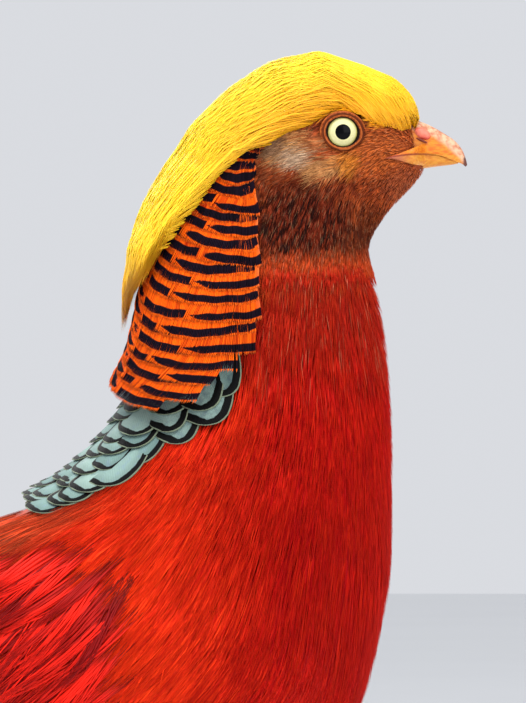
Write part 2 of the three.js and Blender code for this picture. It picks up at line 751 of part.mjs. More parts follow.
function makeTail() {
  const root = tailBlock([13.5, 16], -11.5, 1.3, 34);
  const vanes = [];
  for (const [k, { length, half, rows }] of tailFeathers.entries()) {
    for (const [, side] of sides) {
      vanes.push(tailVane({
        length,
        half,
        centre: side * (k === 0 ? 1.5 : 0.01),
        fan: 0.012 * k,
        level: k === 0 ? (side > 0 ? 0 : -2.1) : -2.1 - 1.1 * k,
        from: 20,
        rows,
        columns: k === 0 ? 2 : 1,
      }));
    }
  }
  for (const [, side] of sides) {
    vanes.push(tailVane({
      length: 105,
      half: 7.5,
      centre: side * 0.01,
      level: -10.9,
      from: 20,
      rows: 2,
      shape: roundTip,
      thick: 1,
    }));
  }
  addNode('tail', largest(joined([root, ...vanes])), finishes.tail);
}

// Tail coverts: narrow scarlet plumes over the base of the tail
const plumes = [
  { length: 250, centre: 0.5, half: 4.2, fan: 0 },
  { length: 215, centre: 9, half: 3.6, fan: 0.012 },
  { length: 175, centre: 15, half: 3.2, fan: 0.03 },
  { length: 145, centre: 18, half: 3.0, fan: 0.06 },
];

function makeTailCoverts() {
  const saddle = tailBlock([16, 23], 1.9, 6.2, 30);
  const vanes = [];
  for (const [k, { length, centre, half, fan }] of plumes.entries()) {
    for (const [, side] of sides) {
      vanes.push(tailVane({
        length,
        half,
        centre: side * centre,
        fan,
        level: 4.9 - 1.1 * (k % 2),
        from: 16,
        rows: 3,
        shape: pointedTip,
        thick: 0.9,
      }));
    }
  }
  addNode('tail_coverts', largest(joined([saddle, ...vanes])), finishes.covert);
}

// Legs
function tube(stations, count) {
  const rings = stations.map(({ at, radius, squash = 1, along }) => {
    const forward = along.clone().normalize();
    const right = new THREE.Vector3(0, 1, 0).cross(forward).normalize();
    const up = forward.clone().cross(right);
    const ring = [];
    for (let j = 0; j < count; j++) {
      const a = (2 * Math.PI * j) / count;
      ring.push(at.clone()
        .addScaledVector(up, Math.cos(a) * radius)
        .addScaledVector(right, Math.sin(a) * radius * squash));
    }
    return ring;
  });
  const solid = loft(rings);
  return solid.volume() < 0 ? loft(rings.map((ring) => ring.slice().reverse())) : solid;
}

// A tube through points, with a radius at each.
function limb(points, radii, count, squash = 1) {
  return tube(points.map((at, i) => {
    const before = points[Math.max(i - 1, 0)];
    const after = points[Math.min(i + 1, points.length - 1)];
    return { at, radius: radii[i], squash, along: after.clone().sub(before) };
  }), count);
}

const toes = [
  { name: 'middle', angle: 0, length: 44, joints: 4, thick: 3.3 },
  { name: 'inner', angle: 34, length: 31, joints: 3, thick: 3.1 },
  { name: 'outer', angle: -36, length: 33, joints: 4, thick: 3.0 },
  { name: 'hind', angle: 172, length: 15, joints: 1, thick: 2.6 },
];

function makeFoot(side, foot) {
  const pieces = [];
  for (const { angle, length, joints, thick } of toes) {
    const heading = radians(-side * angle);
    const ahead = new THREE.Vector3(Math.cos(heading), Math.sin(heading), 0);
    const points = [];
    const radii = [];
    const stations = joints + 3;
    for (let i = 0; i < stations; i++) {
      const t = i / (stations - 1);
      const high = mix(stance.toeHeight + 1.2, stance.toeHeight - 0.3, t);
      points.push(foot.clone().addScaledVector(ahead, 2 + t * length).setZ(high));
      radii.push(thick * mix(1.08, 0.72, t) * (i % 2 ? 1.05 : 0.93));
    }
    pieces.push(limb(points, radii, 6));
    const claw = [];
    for (let i = 0; i < 4; i++) {
      const t = i / 3;
      const high = stance.toeHeight + 0.2 - 2.2 * t * t;
      claw.push(foot.clone().addScaledVector(ahead, length + t * 10).setZ(high));
    }
    pieces.push(limb(claw, [1.9, 1.6, 1.0, 0.35], 4, 0.75));
  }
  pieces.push(ball(foot.clone().setZ(4.6), 1, [6.2, 5.6, 4.6], new THREE.Quaternion(), 8, 6));
  const floor = solidFrom(
    new THREE.BoxGeometry(200, 200, 20),
    new THREE.Matrix4().makeTranslation(foot.x, foot.y, stance.sole - 10),
  );
  return largest(joined(pieces).subtract(floor));
}

function makeLeg(side) {
  const step = side < 0 ? stance.stagger : -stance.stagger;
  const foot = new THREE.Vector3(stance.footX + step, side * stance.footY, 0);
  const ankle = new THREE.Vector3(hock.x + step * 0.6, side * hock.y, hock.z);
  const knee = new THREE.Vector3(30 + step * 0.3, side * 27, 130);
  // Thigh: the feathered drumstick, cut clear of the torso
  const thighShares = [-0.36, -0.2, 0, 0.3, 0.55, 0.8, 1];
  const thighPoints = thighShares.map((t) => knee.clone().lerp(ankle, t));
  const thigh = limb(thighPoints, [9, 17.5, 21.5, 20.5, 16.5, 10, 6.2], 14, 0.82);
  // Shank: a tapered bone with scutes stepping down its front
  const shank = [];
  const shankRadii = [];
  const scutes = 7;
  const top = ankle.clone().lerp(foot.clone().setZ(6), 0.02);
  for (let i = 0; i <= 2 * scutes; i++) {
    const t = i / (2 * scutes);
    shank.push(top.clone().lerp(foot.clone().setZ(7.4), Math.min(t + (i % 2 ? 0.035 : 0), 1)));
    shankRadii.push(mix(4.6, 3.4, ease(0, 0.4, t)) + 1.0 * ease(0.85, 1, t) + (i % 2 ? 0.3 : -0.1));
  }
  const spurRoot = top.clone().lerp(foot.clone().setZ(7), 0.66);
  const spur = limb(
    [0, 0.5, 1].map((t) => spurRoot.clone().add(new THREE.Vector3(-2 - 7 * t, 0, 1.6 * t * t))),
    [2, 1.4, 0.4],
    6,
  );
  const shankSolid = largest(joined([limb(shank, shankRadii, 8, 0.85), spur]));
  return { thigh, shank: shankSolid, foot: makeFoot(side, foot) };
}

// Puts the legs on: each is cut clear of its neighbours by the gap
function makeLegs(torso) {
  for (const [name, side] of sides) {
    const leg = makeLeg(side);
    const thigh = largest(leg.thigh.subtract(clearOfBody));
    addNode('thigh_' + name, largest(thigh.subtract(grown(leg.shank))), finishes.scarlet);
    addNode('shank_' + name, largest(leg.shank.subtract(grown(leg.foot))), finishes.leg);
    addNode('foot_' + name, leg.foot, finishes.leg);
  }
  addNode('torso', torso, finishes.scarlet);
}

const bill = makeBill();
const torso = makeFlesh(bill);
makeCape();
makeCrest([bill, ...sides.map(([, side]) => grown(lidRing(side)))]);
makeMantle();
makeRump();
for (const [name, side] of sides) makeWing(name, side);
makeTail();
makeTailCoverts();
makeLegs(torso);

// The origin is on the floor, under the middle of the bird's length and width.
const box = new THREE.Box3().setFromObject(bird);
const middle = box.getCenter(new THREE.Vector3());
bird.position.set(-middle.x, -middle.y, -box.min.z);

export default bird;
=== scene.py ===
# A cock golden pheasant at life size, dressed feather by feather over its solids.
# Sizes are millimetres in the bird's own drawing: it looks along +x, z is up and +y is its left.
# They become metres of the shared frame only when a mesh is made.
import math

import bpy
import bmesh
import numpy as np
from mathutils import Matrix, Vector


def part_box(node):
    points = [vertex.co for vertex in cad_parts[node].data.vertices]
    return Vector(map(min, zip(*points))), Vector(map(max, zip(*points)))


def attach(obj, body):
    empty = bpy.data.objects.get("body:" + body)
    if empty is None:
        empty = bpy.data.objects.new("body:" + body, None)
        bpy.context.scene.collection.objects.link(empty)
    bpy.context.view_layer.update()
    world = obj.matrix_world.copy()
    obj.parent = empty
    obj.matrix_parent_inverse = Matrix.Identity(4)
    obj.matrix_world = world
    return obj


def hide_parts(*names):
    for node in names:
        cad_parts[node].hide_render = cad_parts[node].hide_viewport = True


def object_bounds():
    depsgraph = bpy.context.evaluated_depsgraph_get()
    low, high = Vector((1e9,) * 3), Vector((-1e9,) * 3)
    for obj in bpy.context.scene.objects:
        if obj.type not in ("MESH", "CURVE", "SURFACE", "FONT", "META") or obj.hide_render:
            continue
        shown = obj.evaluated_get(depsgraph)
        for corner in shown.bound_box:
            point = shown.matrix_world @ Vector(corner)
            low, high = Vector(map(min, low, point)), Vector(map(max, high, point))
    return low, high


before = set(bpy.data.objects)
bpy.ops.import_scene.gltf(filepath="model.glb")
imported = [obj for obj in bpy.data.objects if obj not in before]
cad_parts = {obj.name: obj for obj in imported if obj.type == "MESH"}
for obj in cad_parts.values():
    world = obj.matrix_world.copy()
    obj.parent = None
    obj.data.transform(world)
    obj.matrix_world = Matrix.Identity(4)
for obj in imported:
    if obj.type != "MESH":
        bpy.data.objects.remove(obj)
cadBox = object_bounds()

# The frame's shift against the drawing, told by the bill's tip and by the soles.
drawing = {"billTip": 134.5, "sole": 0.35}
shift = np.array([
    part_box("bill_upper")[1].x * 1000 - drawing["billTip"],
    0.0,
    cadBox[0].z * 1000 - drawing["sole"],
])

# The body from bill to rump: back line x and z, front line x and z, and half width.
body = {
    "outline": np.array([
        (116.4, 346.8, 121.4, 332.8, 6.3),  # bill base
        (112.8, 354.6, 118.0, 328.8, 9.4),  # forehead
        (106.2, 360.8, 112.8, 323.6, 12.2),  # brow
        (97.0, 365.4, 106.6, 316.6, 14.2),  # eye
        (84.0, 366.6, 101.6, 306.6, 15.6),  # crown
        (63.4, 355.4, 103.8, 295.4, 17.5),  # hind crown
        (46.6, 329.0, 106.9, 279.6, 21.5),  # nape
        (36.5, 297.0, 109.0, 257.0, 29.5),  # neck
        (27.5, 261.0, 109.5, 228.0, 41.0),  # neck base
        (3.0, 231.5, 106.8, 186.0, 51.5),  # shoulders
        (-34.0, 214.0, 88.0, 138.0, 57.5),  # back
        (-70.0, 206.5, 24.0, 107.0, 53.0),  # loins
        (-97.0, 194.0, -46.0, 120.0, 36.0),  # rump
        (-109.5, 178.5, -94.0, 154.5, 15.0),  # tail root
        (-137.0, 171.5, -131.0, 151.5, 16.5),  # base of the tail
        (-168.0, 166.5, -163.0, 149.0, 18.5),  # over the tail
        (-202.0, 161.0, -198.0, 147.0, 20.0),
    ]),
    "overrun": 0.6,  # how far past its ends the outline may be followed, in rows
}
millimetre = 0.001  # in metres
metre = 1000  # in millimetres
eye = {"x": 92.6, "y": 8.3, "z": 344.3, "radius": 7.0, "axis": (0.1, 0.99, -0.01)}
sides = (("right", -1), ("left", 1))


# Small maths on whole arrays
def between(a, b, t):
    return a + (b - a) * t


def eased(low, high, value):
    t = np.clip((value - low) / (high - low), 0, 1)
    return t * t * (3 - 2 * t)


def through(pairs, place):
    place = np.asarray(place, float)
    value = np.full(place.shape, float(pairs[0][1]))
    for (low, before), (high, after) in zip(pairs, pairs[1:]):
        value = np.where(place > low, between(before, after, eased(low, high, place)), value)
    return value


def unit(vectors):
    return vectors / np.maximum(np.linalg.norm(vectors, axis=-1, keepdims=True), 1e-9)


# A smooth curve through the rows of a table, at any places between them
def alongRows(rows, place, overrun=0.0):
    last = len(rows) - 1
    i = np.clip(np.floor(place).astype(int), 0, last - 1)
    t = np.clip(place - i, -overrun, 1 + overrun)[..., None]
    a, b, c, d = (rows[np.clip(i + k, 0, last)] for k in (-1, 0, 1, 2))
    return 0.5 * (2 * b + (c - a) * t + (2 * a - 5 * b + 4 * c - d) * t * t
                  + (3 * b - a - 3 * c + d) * t ** 3)


# A point of the body: place counts the rows, turn is 0 on the back line and pi on the front line.
def onBody(place, turn):
    place, turn = np.broadcast_arrays(np.asarray(place, float), np.asarray(turn, float))
    row = alongRows(body["outline"], place, body["overrun"])
    c, s = np.cos(turn), np.sin(turn)
    fullness = 0.1 * (1 - eased(3.5, 6.5, place)) - 0.05 * eased(8, 10, place)
    across = np.sign(s) * np.abs(s) ** 0.94 * (1 - fullness * c) * row[..., 4]
    high = (1 + c) / 2
    return np.stack([between(row[..., 2], row[..., 0], high), across,
                     between(row[..., 3], row[..., 1], high)], axis=-1)


def slopes(place, turn):
    step = 0.03
    down = (onBody(place + step, turn) - onBody(place - step, turn)) / (2 * step)
    around = (onBody(place, turn + step) - onBody(place, turn - step)) / (2 * step)
    return down, around


def outward(place, turn):
    down, around = slopes(place, turn)
    return unit(np.cross(around, down))


def offBody(place, turn, lift):
    return onBody(place, turn) + outward(place, turn) * np.asarray(lift, float)[..., None]


# How far each plumage reaches round the body, as a turn, and how high it stands, in millimetres.
def capeHeight(place, turn):
    rise = through([(5.15, 1), (5.8, 5.4), (6.6, 8.4), (7.4, 9.8), (8.2, 11)], place)
    return rise * (0.68 + 0.32 * np.cos(np.clip(turn, -1.5, 1.5)))


def capeReach(place):
    return through([(5.15, 0.86), (5.3, 0.96), (5.7, 1.18), (6.2, 1.3), (6.9, 1.4), (7.3, 1.42),
                    (7.7, 1.34), (8.3, 1.2)], place)


def crestHeight(place, turn):
    rise = through([(0.1, 2.9), (0.8, 3.8), (1.6, 3.8), (2.6, 2.3), (3.4, 2.1), (4, 4.7), (4.75, 7.3),
                    (5.15, 8.3), (5.5, 6.9), (5.8, 5.9), (6.1, 7), (6.8, 7.4), (7.1, 5.2), (7.5, 2)], place)
    return rise * (0.55 + 0.45 * np.cos(1.1 * turn))


def crestReach(place):
    return through([(0, 0.7), (0.55, 0.96), (0.9, 1.28), (1.5, 1.4), (2.2, 1.37), (2.7, 1.33), (3.15, 1.19),
                    (3.6, 1.07), (4.4, 1.1), (5.1, 0.97), (5.5, 0.78), (6, 0.66), (7, 0.44),
                    (7.5, 0.2)], place)


def crestBase(place, turn):
    return (capeHeight(place, turn) + 0.6) * eased(4.95, 5.4, place)


def mantleReach(place):
    return through([(7.6, 1.26), (8.05, 1.1), (8.3, 0.94), (8.55, 0.78), (8.85, 0.68), (9.2, 0.66),
                    (9.45, 0.54), (9.6, 0.44)], place)


def rumpReach(place):
    return through([(9.4, 0.36), (10, 0.52), (11, 0.58), (12, 0.78), (13, 1.2)], place)


def wingTop(place):
    return through([(9.4, 0.74), (10, 0.62), (11, 0.68), (12, 0.9), (12.9, 1.35)], place)


def wingLow(place):
    return through([(9.4, 1.5), (10, 1.85), (11, 1.95), (12, 1.95), (12.9, 1.9)], place)


# The red side feathers stand out over the front of the folded wing.
def flankRise(place, turn):
    window = eased(0.3, 0.7, np.abs(turn)) * eased(2.6, 2.1, np.abs(turn))
    return 4.6 * window * eased(8.9, 9.8, place) * eased(12.2, 11.2, place)


# Meshes from arrays
def toFrame(points):
    return (points + shift) * millimetre


def deselectAll():
    bpy.ops.object.select_all(action="DESELECT")


# What was just added gets its name and shape, and its place goes into its mesh.
def settled(name, scale=(1, 1, 1), tilt=None):
    piece = bpy.context.object
    piece.name = name
    piece.scale = scale
    if tilt is not None:
        piece.rotation_euler = (0, math.radians(tilt), 0)
    bpy.ops.object.transform_apply(location=True, rotation=True, scale=True)
    bpy.ops.object.shade_smooth()
    return piece


def meshFrom(name, points, triangles, marks, unwrapped=None):
    corners = points[triangles]
    volume = np.einsum("ij,ij->", corners[:, 0], np.cross(corners[:, 1], corners[:, 2]))
    if volume < 0:
        triangles = triangles[:, ::-1]
    mesh = bpy.data.meshes.new(name)
    mesh.vertices.add(len(points))
    mesh.vertices.foreach_set("co", toFrame(points).astype(np.float32).ravel())
    mesh.loops.add(triangles.size)
    mesh.loops.foreach_set("vertex_index", triangles.astype(np.int32).ravel())
    mesh.polygons.add(len(triangles))
    mesh.polygons.foreach_set("loop_start", np.arange(0, triangles.size, 3, dtype=np.int32))
    mesh.polygons.foreach_set("use_smooth", np.ones(len(triangles), bool))
    for mark, values in marks.items():
        isVector = values.ndim == 2
        layer = mesh.attributes.new(mark, "FLOAT_VECTOR" if isVector else "FLOAT", "POINT")
        layer.data.foreach_set("vector" if isVector else "value", values.astype(np.float32).ravel())
    if unwrapped is not None:
        layer = mesh.uv_layers.new(name="OFBake")
        layer.uv.foreach_set("vector", unwrapped[triangles.ravel()].astype(np.float32).ravel())
    mesh.update(calc_edges=True)
    mesh.validate()
    piece = bpy.data.objects.new(name, mesh)
    bpy.context.scene.collection.objects.link(piece)
    return piece


# Closed three-sided strands. centre and normal hold each strand's stations from root to tip.
def strandMesh(name, centre, normal, width, height, unwrap, marks):
    count, stations = centre.shape[:2]
    along = unit(np.gradient(centre, axis=1))
    side = unit(np.cross(along, normal))
    up = np.cross(side, along)
    half = side * (width / 2)[..., None]
    rings = np.stack([centre - half, centre + half, centre + up * height[..., None]], axis=2)
    points = np.concatenate([rings[:, :-1].reshape(count, -1, 3), centre[:, -1:]], axis=1)
    perStrand = points.shape[1]
    faces = [(0, 1, 2)]
    for s in range(stations - 2):
        for a, b in ((0, 2), (2, 1), (1, 0)):
            low, high = 3 * s, 3 * s + 3
            faces += [(low + a, low + b, high + b), (low + a, high + b, high + a)]
    last = 3 * (stations - 2)
    faces += [(last + a, last + b, perStrand - 1) for a, b in ((0, 2), (2, 1), (1, 0))]
    starts = np.arange(count)[:, None, None] * perStrand
    triangles = (starts + np.array(faces)[None]).reshape(-1, 3)
    steps = np.linspace(0, 1, stations)
    local = np.stack([np.append(np.tile([0, 1, 0.5], stations - 1), 0.5),
                      np.append(np.repeat(steps[:-1], 3), 1)], axis=-1)
    unwrapped = unwrap[:, None] + 0.003 * (local - 0.5)[None]
    spread = {}
    for mark, values in marks.items():
        if mark != "root" and values.ndim == 2:
            values = np.concatenate([np.repeat(values[:, :-1], 3, axis=1), values[:, -1:]], axis=1)
            spread[mark] = values.ravel()
        else:
            spread[mark] = np.repeat(values, perStrand, axis=0)
    spread["along"] = np.tile(local[:, 1], count)
    return meshFrom(name, points.reshape(-1, 3), triangles, spread, unwrapped.reshape(-1, 2))


# Closed thin vanes. over and under hold each vane's grid of points, rows from root to tip.
def vaneMesh(name, over, under, marks):
    count, rows, columns = over.shape[:3]
    points = np.stack([over, under], axis=1).reshape(count, -1, 3)
    perFace = rows * columns
    grid = np.arange(perFace).reshape(rows, columns)
    a, b = grid[:-1, :-1].ravel(), grid[1:, :-1].ravel()
    c, d = grid[1:, 1:].ravel(), grid[:-1, 1:].ravel()
    top = np.concatenate([np.stack([a, b, c], -1), np.stack([a, c, d], -1)])
    rim = np.concatenate([grid[:, 0], grid[-1, 1:], grid[-2::-1, -1], grid[0, -2::-1]])
    start, end = rim[:-1], rim[1:]
    walls = np.concatenate([np.stack([start, start + perFace, end + perFace], -1),
                            np.stack([start, end + perFace, end], -1)])
    faces = np.concatenate([top, top[:, ::-1] + perFace, walls])
    triangles = (np.arange(count)[:, None, None] * 2 * perFace + faces[None]).reshape(-1, 3)
    spread = {}
    for mark, values in marks.items():
        values = np.broadcast_to(values, (count, rows, columns)).reshape(count, 1, perFace)
        spread[mark] = np.repeat(values, 2, axis=1).ravel()
    # Each vane has a cell of its own on the map.
    across = math.ceil(math.sqrt(count))
    cell = np.stack([np.arange(count) % across, np.arange(count) // across], -1) / across
    v, u = np.meshgrid(np.linspace(0.04, 0.96, rows), np.linspace(0.04, 0.96, columns), indexing="ij")
    local = np.tile(np.stack([u, v], -1).reshape(1, perFace, 2), (1, 2, 1)) / across
    unwrapped = (cell[:, None] + local).reshape(-1, 2)
    return meshFrom(name, points.reshape(-1, 3), triangles, spread, unwrapped)


# Roots spread evenly over the part of the body where allowed says yes.
def scatter(count, places, turns, allowed, seed):
    dice = np.random.default_rng(seed)
    tries = 40000
    found = []
    total = 0
    while total < count:
        place = dice.uniform(*places, tries)
        turn = dice.uniform(*turns, tries)
        down, around = slopes(place, turn)
        area = np.linalg.norm(down, axis=-1) * np.linalg.norm(around, axis=-1)
        keep = dice.random(tries) < area / area.max()
        keep &= allowed(place, turn, onBody(place, turn))
        found.append(np.stack([place[keep], turn[keep]], -1))
        total += keep.sum()
    return np.concatenate(found)[:count].T


# Strands that lie along the body in small locks, each lock drawn together towards its tip. coat says
# how many, how long and wide they are, how high they rise, and how far each strays from its lock.
def laidStrands(name, roots, coat, region, seed):
    dice = np.random.default_rng(seed)
    perLock = coat["perLock"]
    place = np.repeat(roots[0], perLock)
    turn = np.repeat(roots[1], perLock)
    if "rows" in coat:
        waves = 0.05 * np.sin(turn * 9) + 0.04 * np.sin(turn * 23 + place)
        place = np.round((place + waves) / coat["rows"]) * coat["rows"] - waves
    lockTone = np.repeat(dice.random(len(roots[0])), perLock)
    count = len(place)
    down, around = slopes(place, turn)
    downSpeed = np.linalg.norm(down, axis=-1)
    aroundSpeed = np.maximum(np.linalg.norm(around, axis=-1), 4)
    offDown = dice.normal(0, coat["spread"], count) / downSpeed
    offAround = dice.normal(0, coat["spread"], count) / aroundSpeed
    length = coat["length"] if np.isscalar(coat["length"]) else through(coat["length"], place)
    length = length * dice.uniform(*coat.get("vary", (0.75, 1.2)), count)
    run = length / downSpeed
    stations = coat["stations"]
    t = np.linspace(0, 1, stations) ** 0.9
    sway = dice.normal(0, coat["sway"], count) / aroundSpeed
    sway = sway + np.repeat(dice.normal(0, coat.get("lockSway", 0), len(roots[0])), perLock) / aroundSpeed
    steer = coat["steer"](place, turn) if "steer" in coat else 0 * turn
    placeT = (place + offDown)[:, None] + run[:, None] * t
    turnT = (turn + offAround)[:, None] + (sway + steer * length / aroundSpeed
                                           - coat["draw"] * offAround)[:, None] * t ** 1.3
    layer = dice.random(count)
    lockLayer = np.repeat(dice.random(len(roots[0])), perLock)
    layer = between(layer, lockLayer, coat.get("asOne", 0))
    rise = between(*coat["lift"], t)
    lift = rise[None] + (coat["layer"] * layer)[:, None] * t
    lift = lift - through(coat.get("settle", [(0, 0), (1, 0)]), placeT)
    if "base" in coat:
        lift = lift + coat["base"](placeT, turnT)
    centre = offBody(placeT, turnT, lift)
    normal = outward(placeT, turnT)
    clear = coat["clear"](centre) if "clear" in coat else np.ones(count, bool)
    widest = coat["width"] if np.isscalar(coat["width"]) else through(coat["width"], place)
    width = widest * dice.uniform(0.7, 1.25, count)
    shape = np.minimum(0.55 + 1.6 * t, 1) * (1 - 0.75 * t ** 2.5)
    width = width[:, None] * shape[None]
    height = width * coat.get("ridge", 0.35)
    ofLock = coat.get("lockTone", 0.35)
    tone = np.clip(ofLock * lockTone + (0.8 - ofLock) * dice.random(count) + 0.2 * layer, 0, 1)
    (place0, place1), (turn0, turn1) = region
    unwrap = np.stack([(place - place0) / (place1 - place0), (turn - turn0) / (turn1 - turn0)], -1)
    unwrap = np.clip(unwrap, 0.002, 0.998)
    root = toFrame(onBody(place, turn))
    marks = {"tone": tone[clear], "root": root[clear], "spark": dice.random(clear.sum())}
    return strandMesh(name, centre[clear], normal[clear], width[clear], height[clear], unwrap[clear], marks)


# Materials
# Red, green and blue from 0 to 255 become linear light; any other colour stays as it is.
def paint(colour):
    def linear(v):
        v /= 255
        return v / 12.92 if v <= 0.04045 else ((v + 0.055) / 1.055) ** 2.4

    if isinstance(colour, Value) or len(colour) == 4:
        return colour
    return (*(linear(v) for v in colour), 1.0)


class Value:
    def __init__(self, finish, socket):
        self.finish = finish
        self.socket = socket

    def maths(self, operation, *values):
        return self.finish.node("ShaderNodeMath", {"operation": operation}, dict(enumerate(values)))

    def __add__(self, other):
        return self.maths("ADD", self, other)

    __radd__ = __add__

    def __mul__(self, other):
        return self.maths("MULTIPLY", self, other)

    __rmul__ = __mul__

    def __sub__(self, other):
        return self.maths("SUBTRACT", self, other)

    def __rsub__(self, other):
        return self.maths("SUBTRACT", other, self)

    def __truediv__(self, other):
        return self.maths("DIVIDE", self, other)

    def __pow__(self, other):
        return self.maths("POWER", self, other)

    def size(self):
        return self.maths("ABSOLUTE", self)

    def most(self, other):
        return self.maths("MAXIMUM", self, other)

    def wave(self):
        return self.maths("SINE", self)


class Finish:
    def __init__(self, name, **fixed):
        self.material = bpy.data.materials.new(name)
        self.material.use_nodes = True
        self.tree = self.material.node_tree
        self.shader = self.tree.nodes["Principled BSDF"]
        for socket, value in fixed.items():
            self.shader.inputs[socket.replace("_", " ")].default_value = value

    def node(self, kind, settings=None, inputs=None, output=0):
        made = self.tree.nodes.new(kind)
        for key, value in (settings or {}).items():
            setattr(made, key, value)
        for key, value in (inputs or {}).items():
            self.feed(made.inputs[key], value)
        return Value(self, made.outputs[output])

    def feed(self, socket, value):
        if isinstance(value, Value):
            self.tree.links.new(value.socket, socket)
        else:
            socket.default_value = value

    def painted(self, colour):
        self.feed(self.shader.inputs["Base Color"], colour)
        return self.material

    def mark(self, name):
        return self.node("ShaderNodeAttribute", {"attribute_name": name}, output="Fac")

    def place(self, name=None):
        if name:
            return self.node("ShaderNodeAttribute", {"attribute_name": name}, output="Vector")
        return self.node("ShaderNodeTexCoord", output="Object")

    def axes(self, where):
        made = self.node("ShaderNodeSeparateXYZ", {}, {0: where})
        outputs = made.socket.node.outputs
        return [Value(self, outputs[k]) * metre - float(shift[k]) for k in range(3)]

    def noise(self, where, scale, detail=2.0):
        return self.node("ShaderNodeTexNoise", {},
                         {"Vector": where, "Scale": scale, "Detail": detail}, "Fac")

    def blend(self, mask, first, second):
        return self.node("ShaderNodeMix", {"data_type": "RGBA"},
                         {0: mask, 6: paint(first), 7: paint(second)}, 2)

    # Coats over a colour, one after another, each with its mask
    def over(self, colour, *coats):
        for mask, coat in coats:
            colour = self.blend(mask, colour, coat)
        return colour

    # 0 below low and 1 above high, softly; low may be the larger of the two.
    def ramp(self, value, low, high):
        return self.node("ShaderNodeMapRange", {"interpolation_type": "SMOOTHSTEP"},
                         {"Value": value, "From Min": low, "From Max": high})

    def tint(self, colour, value, hue=0.5):
        return self.node("ShaderNodeHueSaturation", {}, {"Hue": hue, "Value": value, "Color": colour})

    def bump(self, height, strength=0.4, depth=0.0003):
        made = self.node("ShaderNodeBump", {}, {"Strength": strength, "Distance": depth, "Height": height})
        self.feed(self.shader.inputs["Normal"], made)


# The markings that skin and body feathers share, painted by where they are on the bird.
markings = {
    "crown": (240, 158, 16),
    "rust": (184, 80, 34),
    "rustDark": (126, 48, 22),
    "lores": (208, 106, 46),
    "collar": (216, 76, 28),
    "scapular": (255, 88, 44),
    "scapularBrown": (160, 68, 42),
    # painted highlight for the radiating rays of the neck
    "under": (104, 30, 20),
    "rayHighlight": (206, 128, 92),
    "paleTip": (232, 176, 130),
    "neck": (190, 34, 12),
    "breast": (204, 16, 4),
    "shoulder": (255, 54, 16),
    "belly": (190, 26, 12),
    "thigh": (186, 44, 20),
    "ear": (210, 150, 92),
    "earPale": (206, 176, 148),
    "earGrey": (142, 108, 86),
    "bareSkin": (224, 140, 44),
    "chin": (176, 88, 52),
    "ringDark": (42, 11, 5),
    "ringRust": (116, 38, 16),
}


# Ear, chin, bare skin and the dark rows of the cheek are places in the side view.
def facePaint(finish, x, z, grain, broad):
    def spot(centreX, centreZ, wide, high, soft=0.45):
        far = (((x - centreX) / wide) ** 2 + ((z - centreZ) / high) ** 2) ** 0.5 + grain * 0.8
        return finish.ramp(far, 1 + soft, 1 - soft)

    rust = finish.blend(finish.ramp(grain + broad * 0.6, -0.18, 0.2), markings["rustDark"], markings["rust"])
    rows = ((z + x * 0.16 + grain * 2.4 + broad * 2.5) * 3.1).wave()
    rings = finish.blend(finish.ramp(rows, -0.55, 0.5), markings["ringDark"], markings["ringRust"])
    return finish.over(
        rust,
        (spot(80, 316, 17, 13.5), rings),
        (spot(103, 311, 8, 11) * 0.6, markings["ringDark"]),
        (spot(107, 338, 10, 7, 0.7) * 0.7, markings["lores"]),
        (spot(116, 327, 7, 6) * 0.7, markings["chin"]),
        (spot(78, 340, 8.6, 5.4), markings["ear"]),
        (spot(88.5, 333.6, 6.2, 3.2) * 0.85, markings["ear"]),
        (spot(81, 337.2, 5.4, 3.2) * 0.8, markings["earPale"]),
        (spot(73.5, 342, 4.4, 4.4) * 0.75, markings["earGrey"]),
        (spot(96.3, 335, 3.0, 3.6, 0.7) * 0.75, markings["bareSkin"]),
        (finish.ramp(z + grain * 6 + broad * 6, 310, 303) * 0.8, markings["collar"]),
    )


def bodyPaint(finish, where):
    x, _, z = finish.axes(where)
    grain = finish.noise(where, 420, 3) - 0.5
    broad = finish.noise(where, 90) - 0.5
    shoulder = finish.ramp(x + broad * 30 + grain * 10, 80, 40)
    behind = finish.ramp(z - 0.77 * x + broad * 12, 210, 217) * finish.ramp(x, 34, 12)
    patches = finish.blend(finish.ramp(broad + grain * 0.5, -0.05, 0.2), markings["scapular"],
                           markings["scapularBrown"])
    below = finish.ramp(x + broad * 40, 10, -12) * finish.ramp(z + broad * 30, 196, 176)
    # The lower edge of the golden crown, over the eye
    crownEdge = ((x - 91).size() * -0.36 + 351.6).most(finish.ramp(x, 91, 92) * 346.6)
    return finish.over(
        finish.blend(shoulder, markings["breast"], markings["shoulder"]),
        (behind, patches),
        (below * 0.8, markings["under"]),
        (finish.ramp(z + broad * 20, 262, 296), markings["neck"]),
        (finish.ramp(z + broad * 14, 138, 112), markings["thigh"]),
        (finish.ramp(z + grain * 6 + broad * 8, 299, 305), facePaint(finish, x, z, grain, broad)),
        (finish.ramp(z - crownEdge + grain * 5, -1.6, 1.2), markings["crown"]),
    )


# Each strand has its own tone between low and high, is darker at its root, and varies in hue.
def strandPaint(finish, colour, low, high, hue, root):
    tone = finish.mark("tone")
    shade = ((high - low) * tone + low) * (root + (1 - root) * finish.mark("along"))
    return finish.tint(colour, shade, 0.5 + hue * (tone - 0.5))


def coatFinish(name):
    finish = Finish(name, Roughness=0.6, Specular_IOR_Level=0.1)
    where = finish.place("root")
    z = finish.axes(where)[2]
    spark = finish.mark("spark")
    onFace = finish.ramp(z, 300, 308)
    # A few neck strands are painted pinkish as highlights along their radiating rays.
    rayHighlights = finish.ramp(spark, 0.93, 0.97) * finish.ramp(z, 262, 284) * finish.ramp(z, 308, 300)
    tips = finish.ramp(spark, 0.8, 0.9) * finish.ramp(finish.mark("along"), 0.4, 1) * onFace
    colour = finish.over(bodyPaint(finish, where), (rayHighlights * 0.6, markings["rayHighlight"]),
                         (tips * 0.32, markings["paleTip"]))
    return finish.painted(strandPaint(finish, colour, 0.7 - onFace * 0.2, 1.26 + onFace * 0.22, 0.008, 0.72))
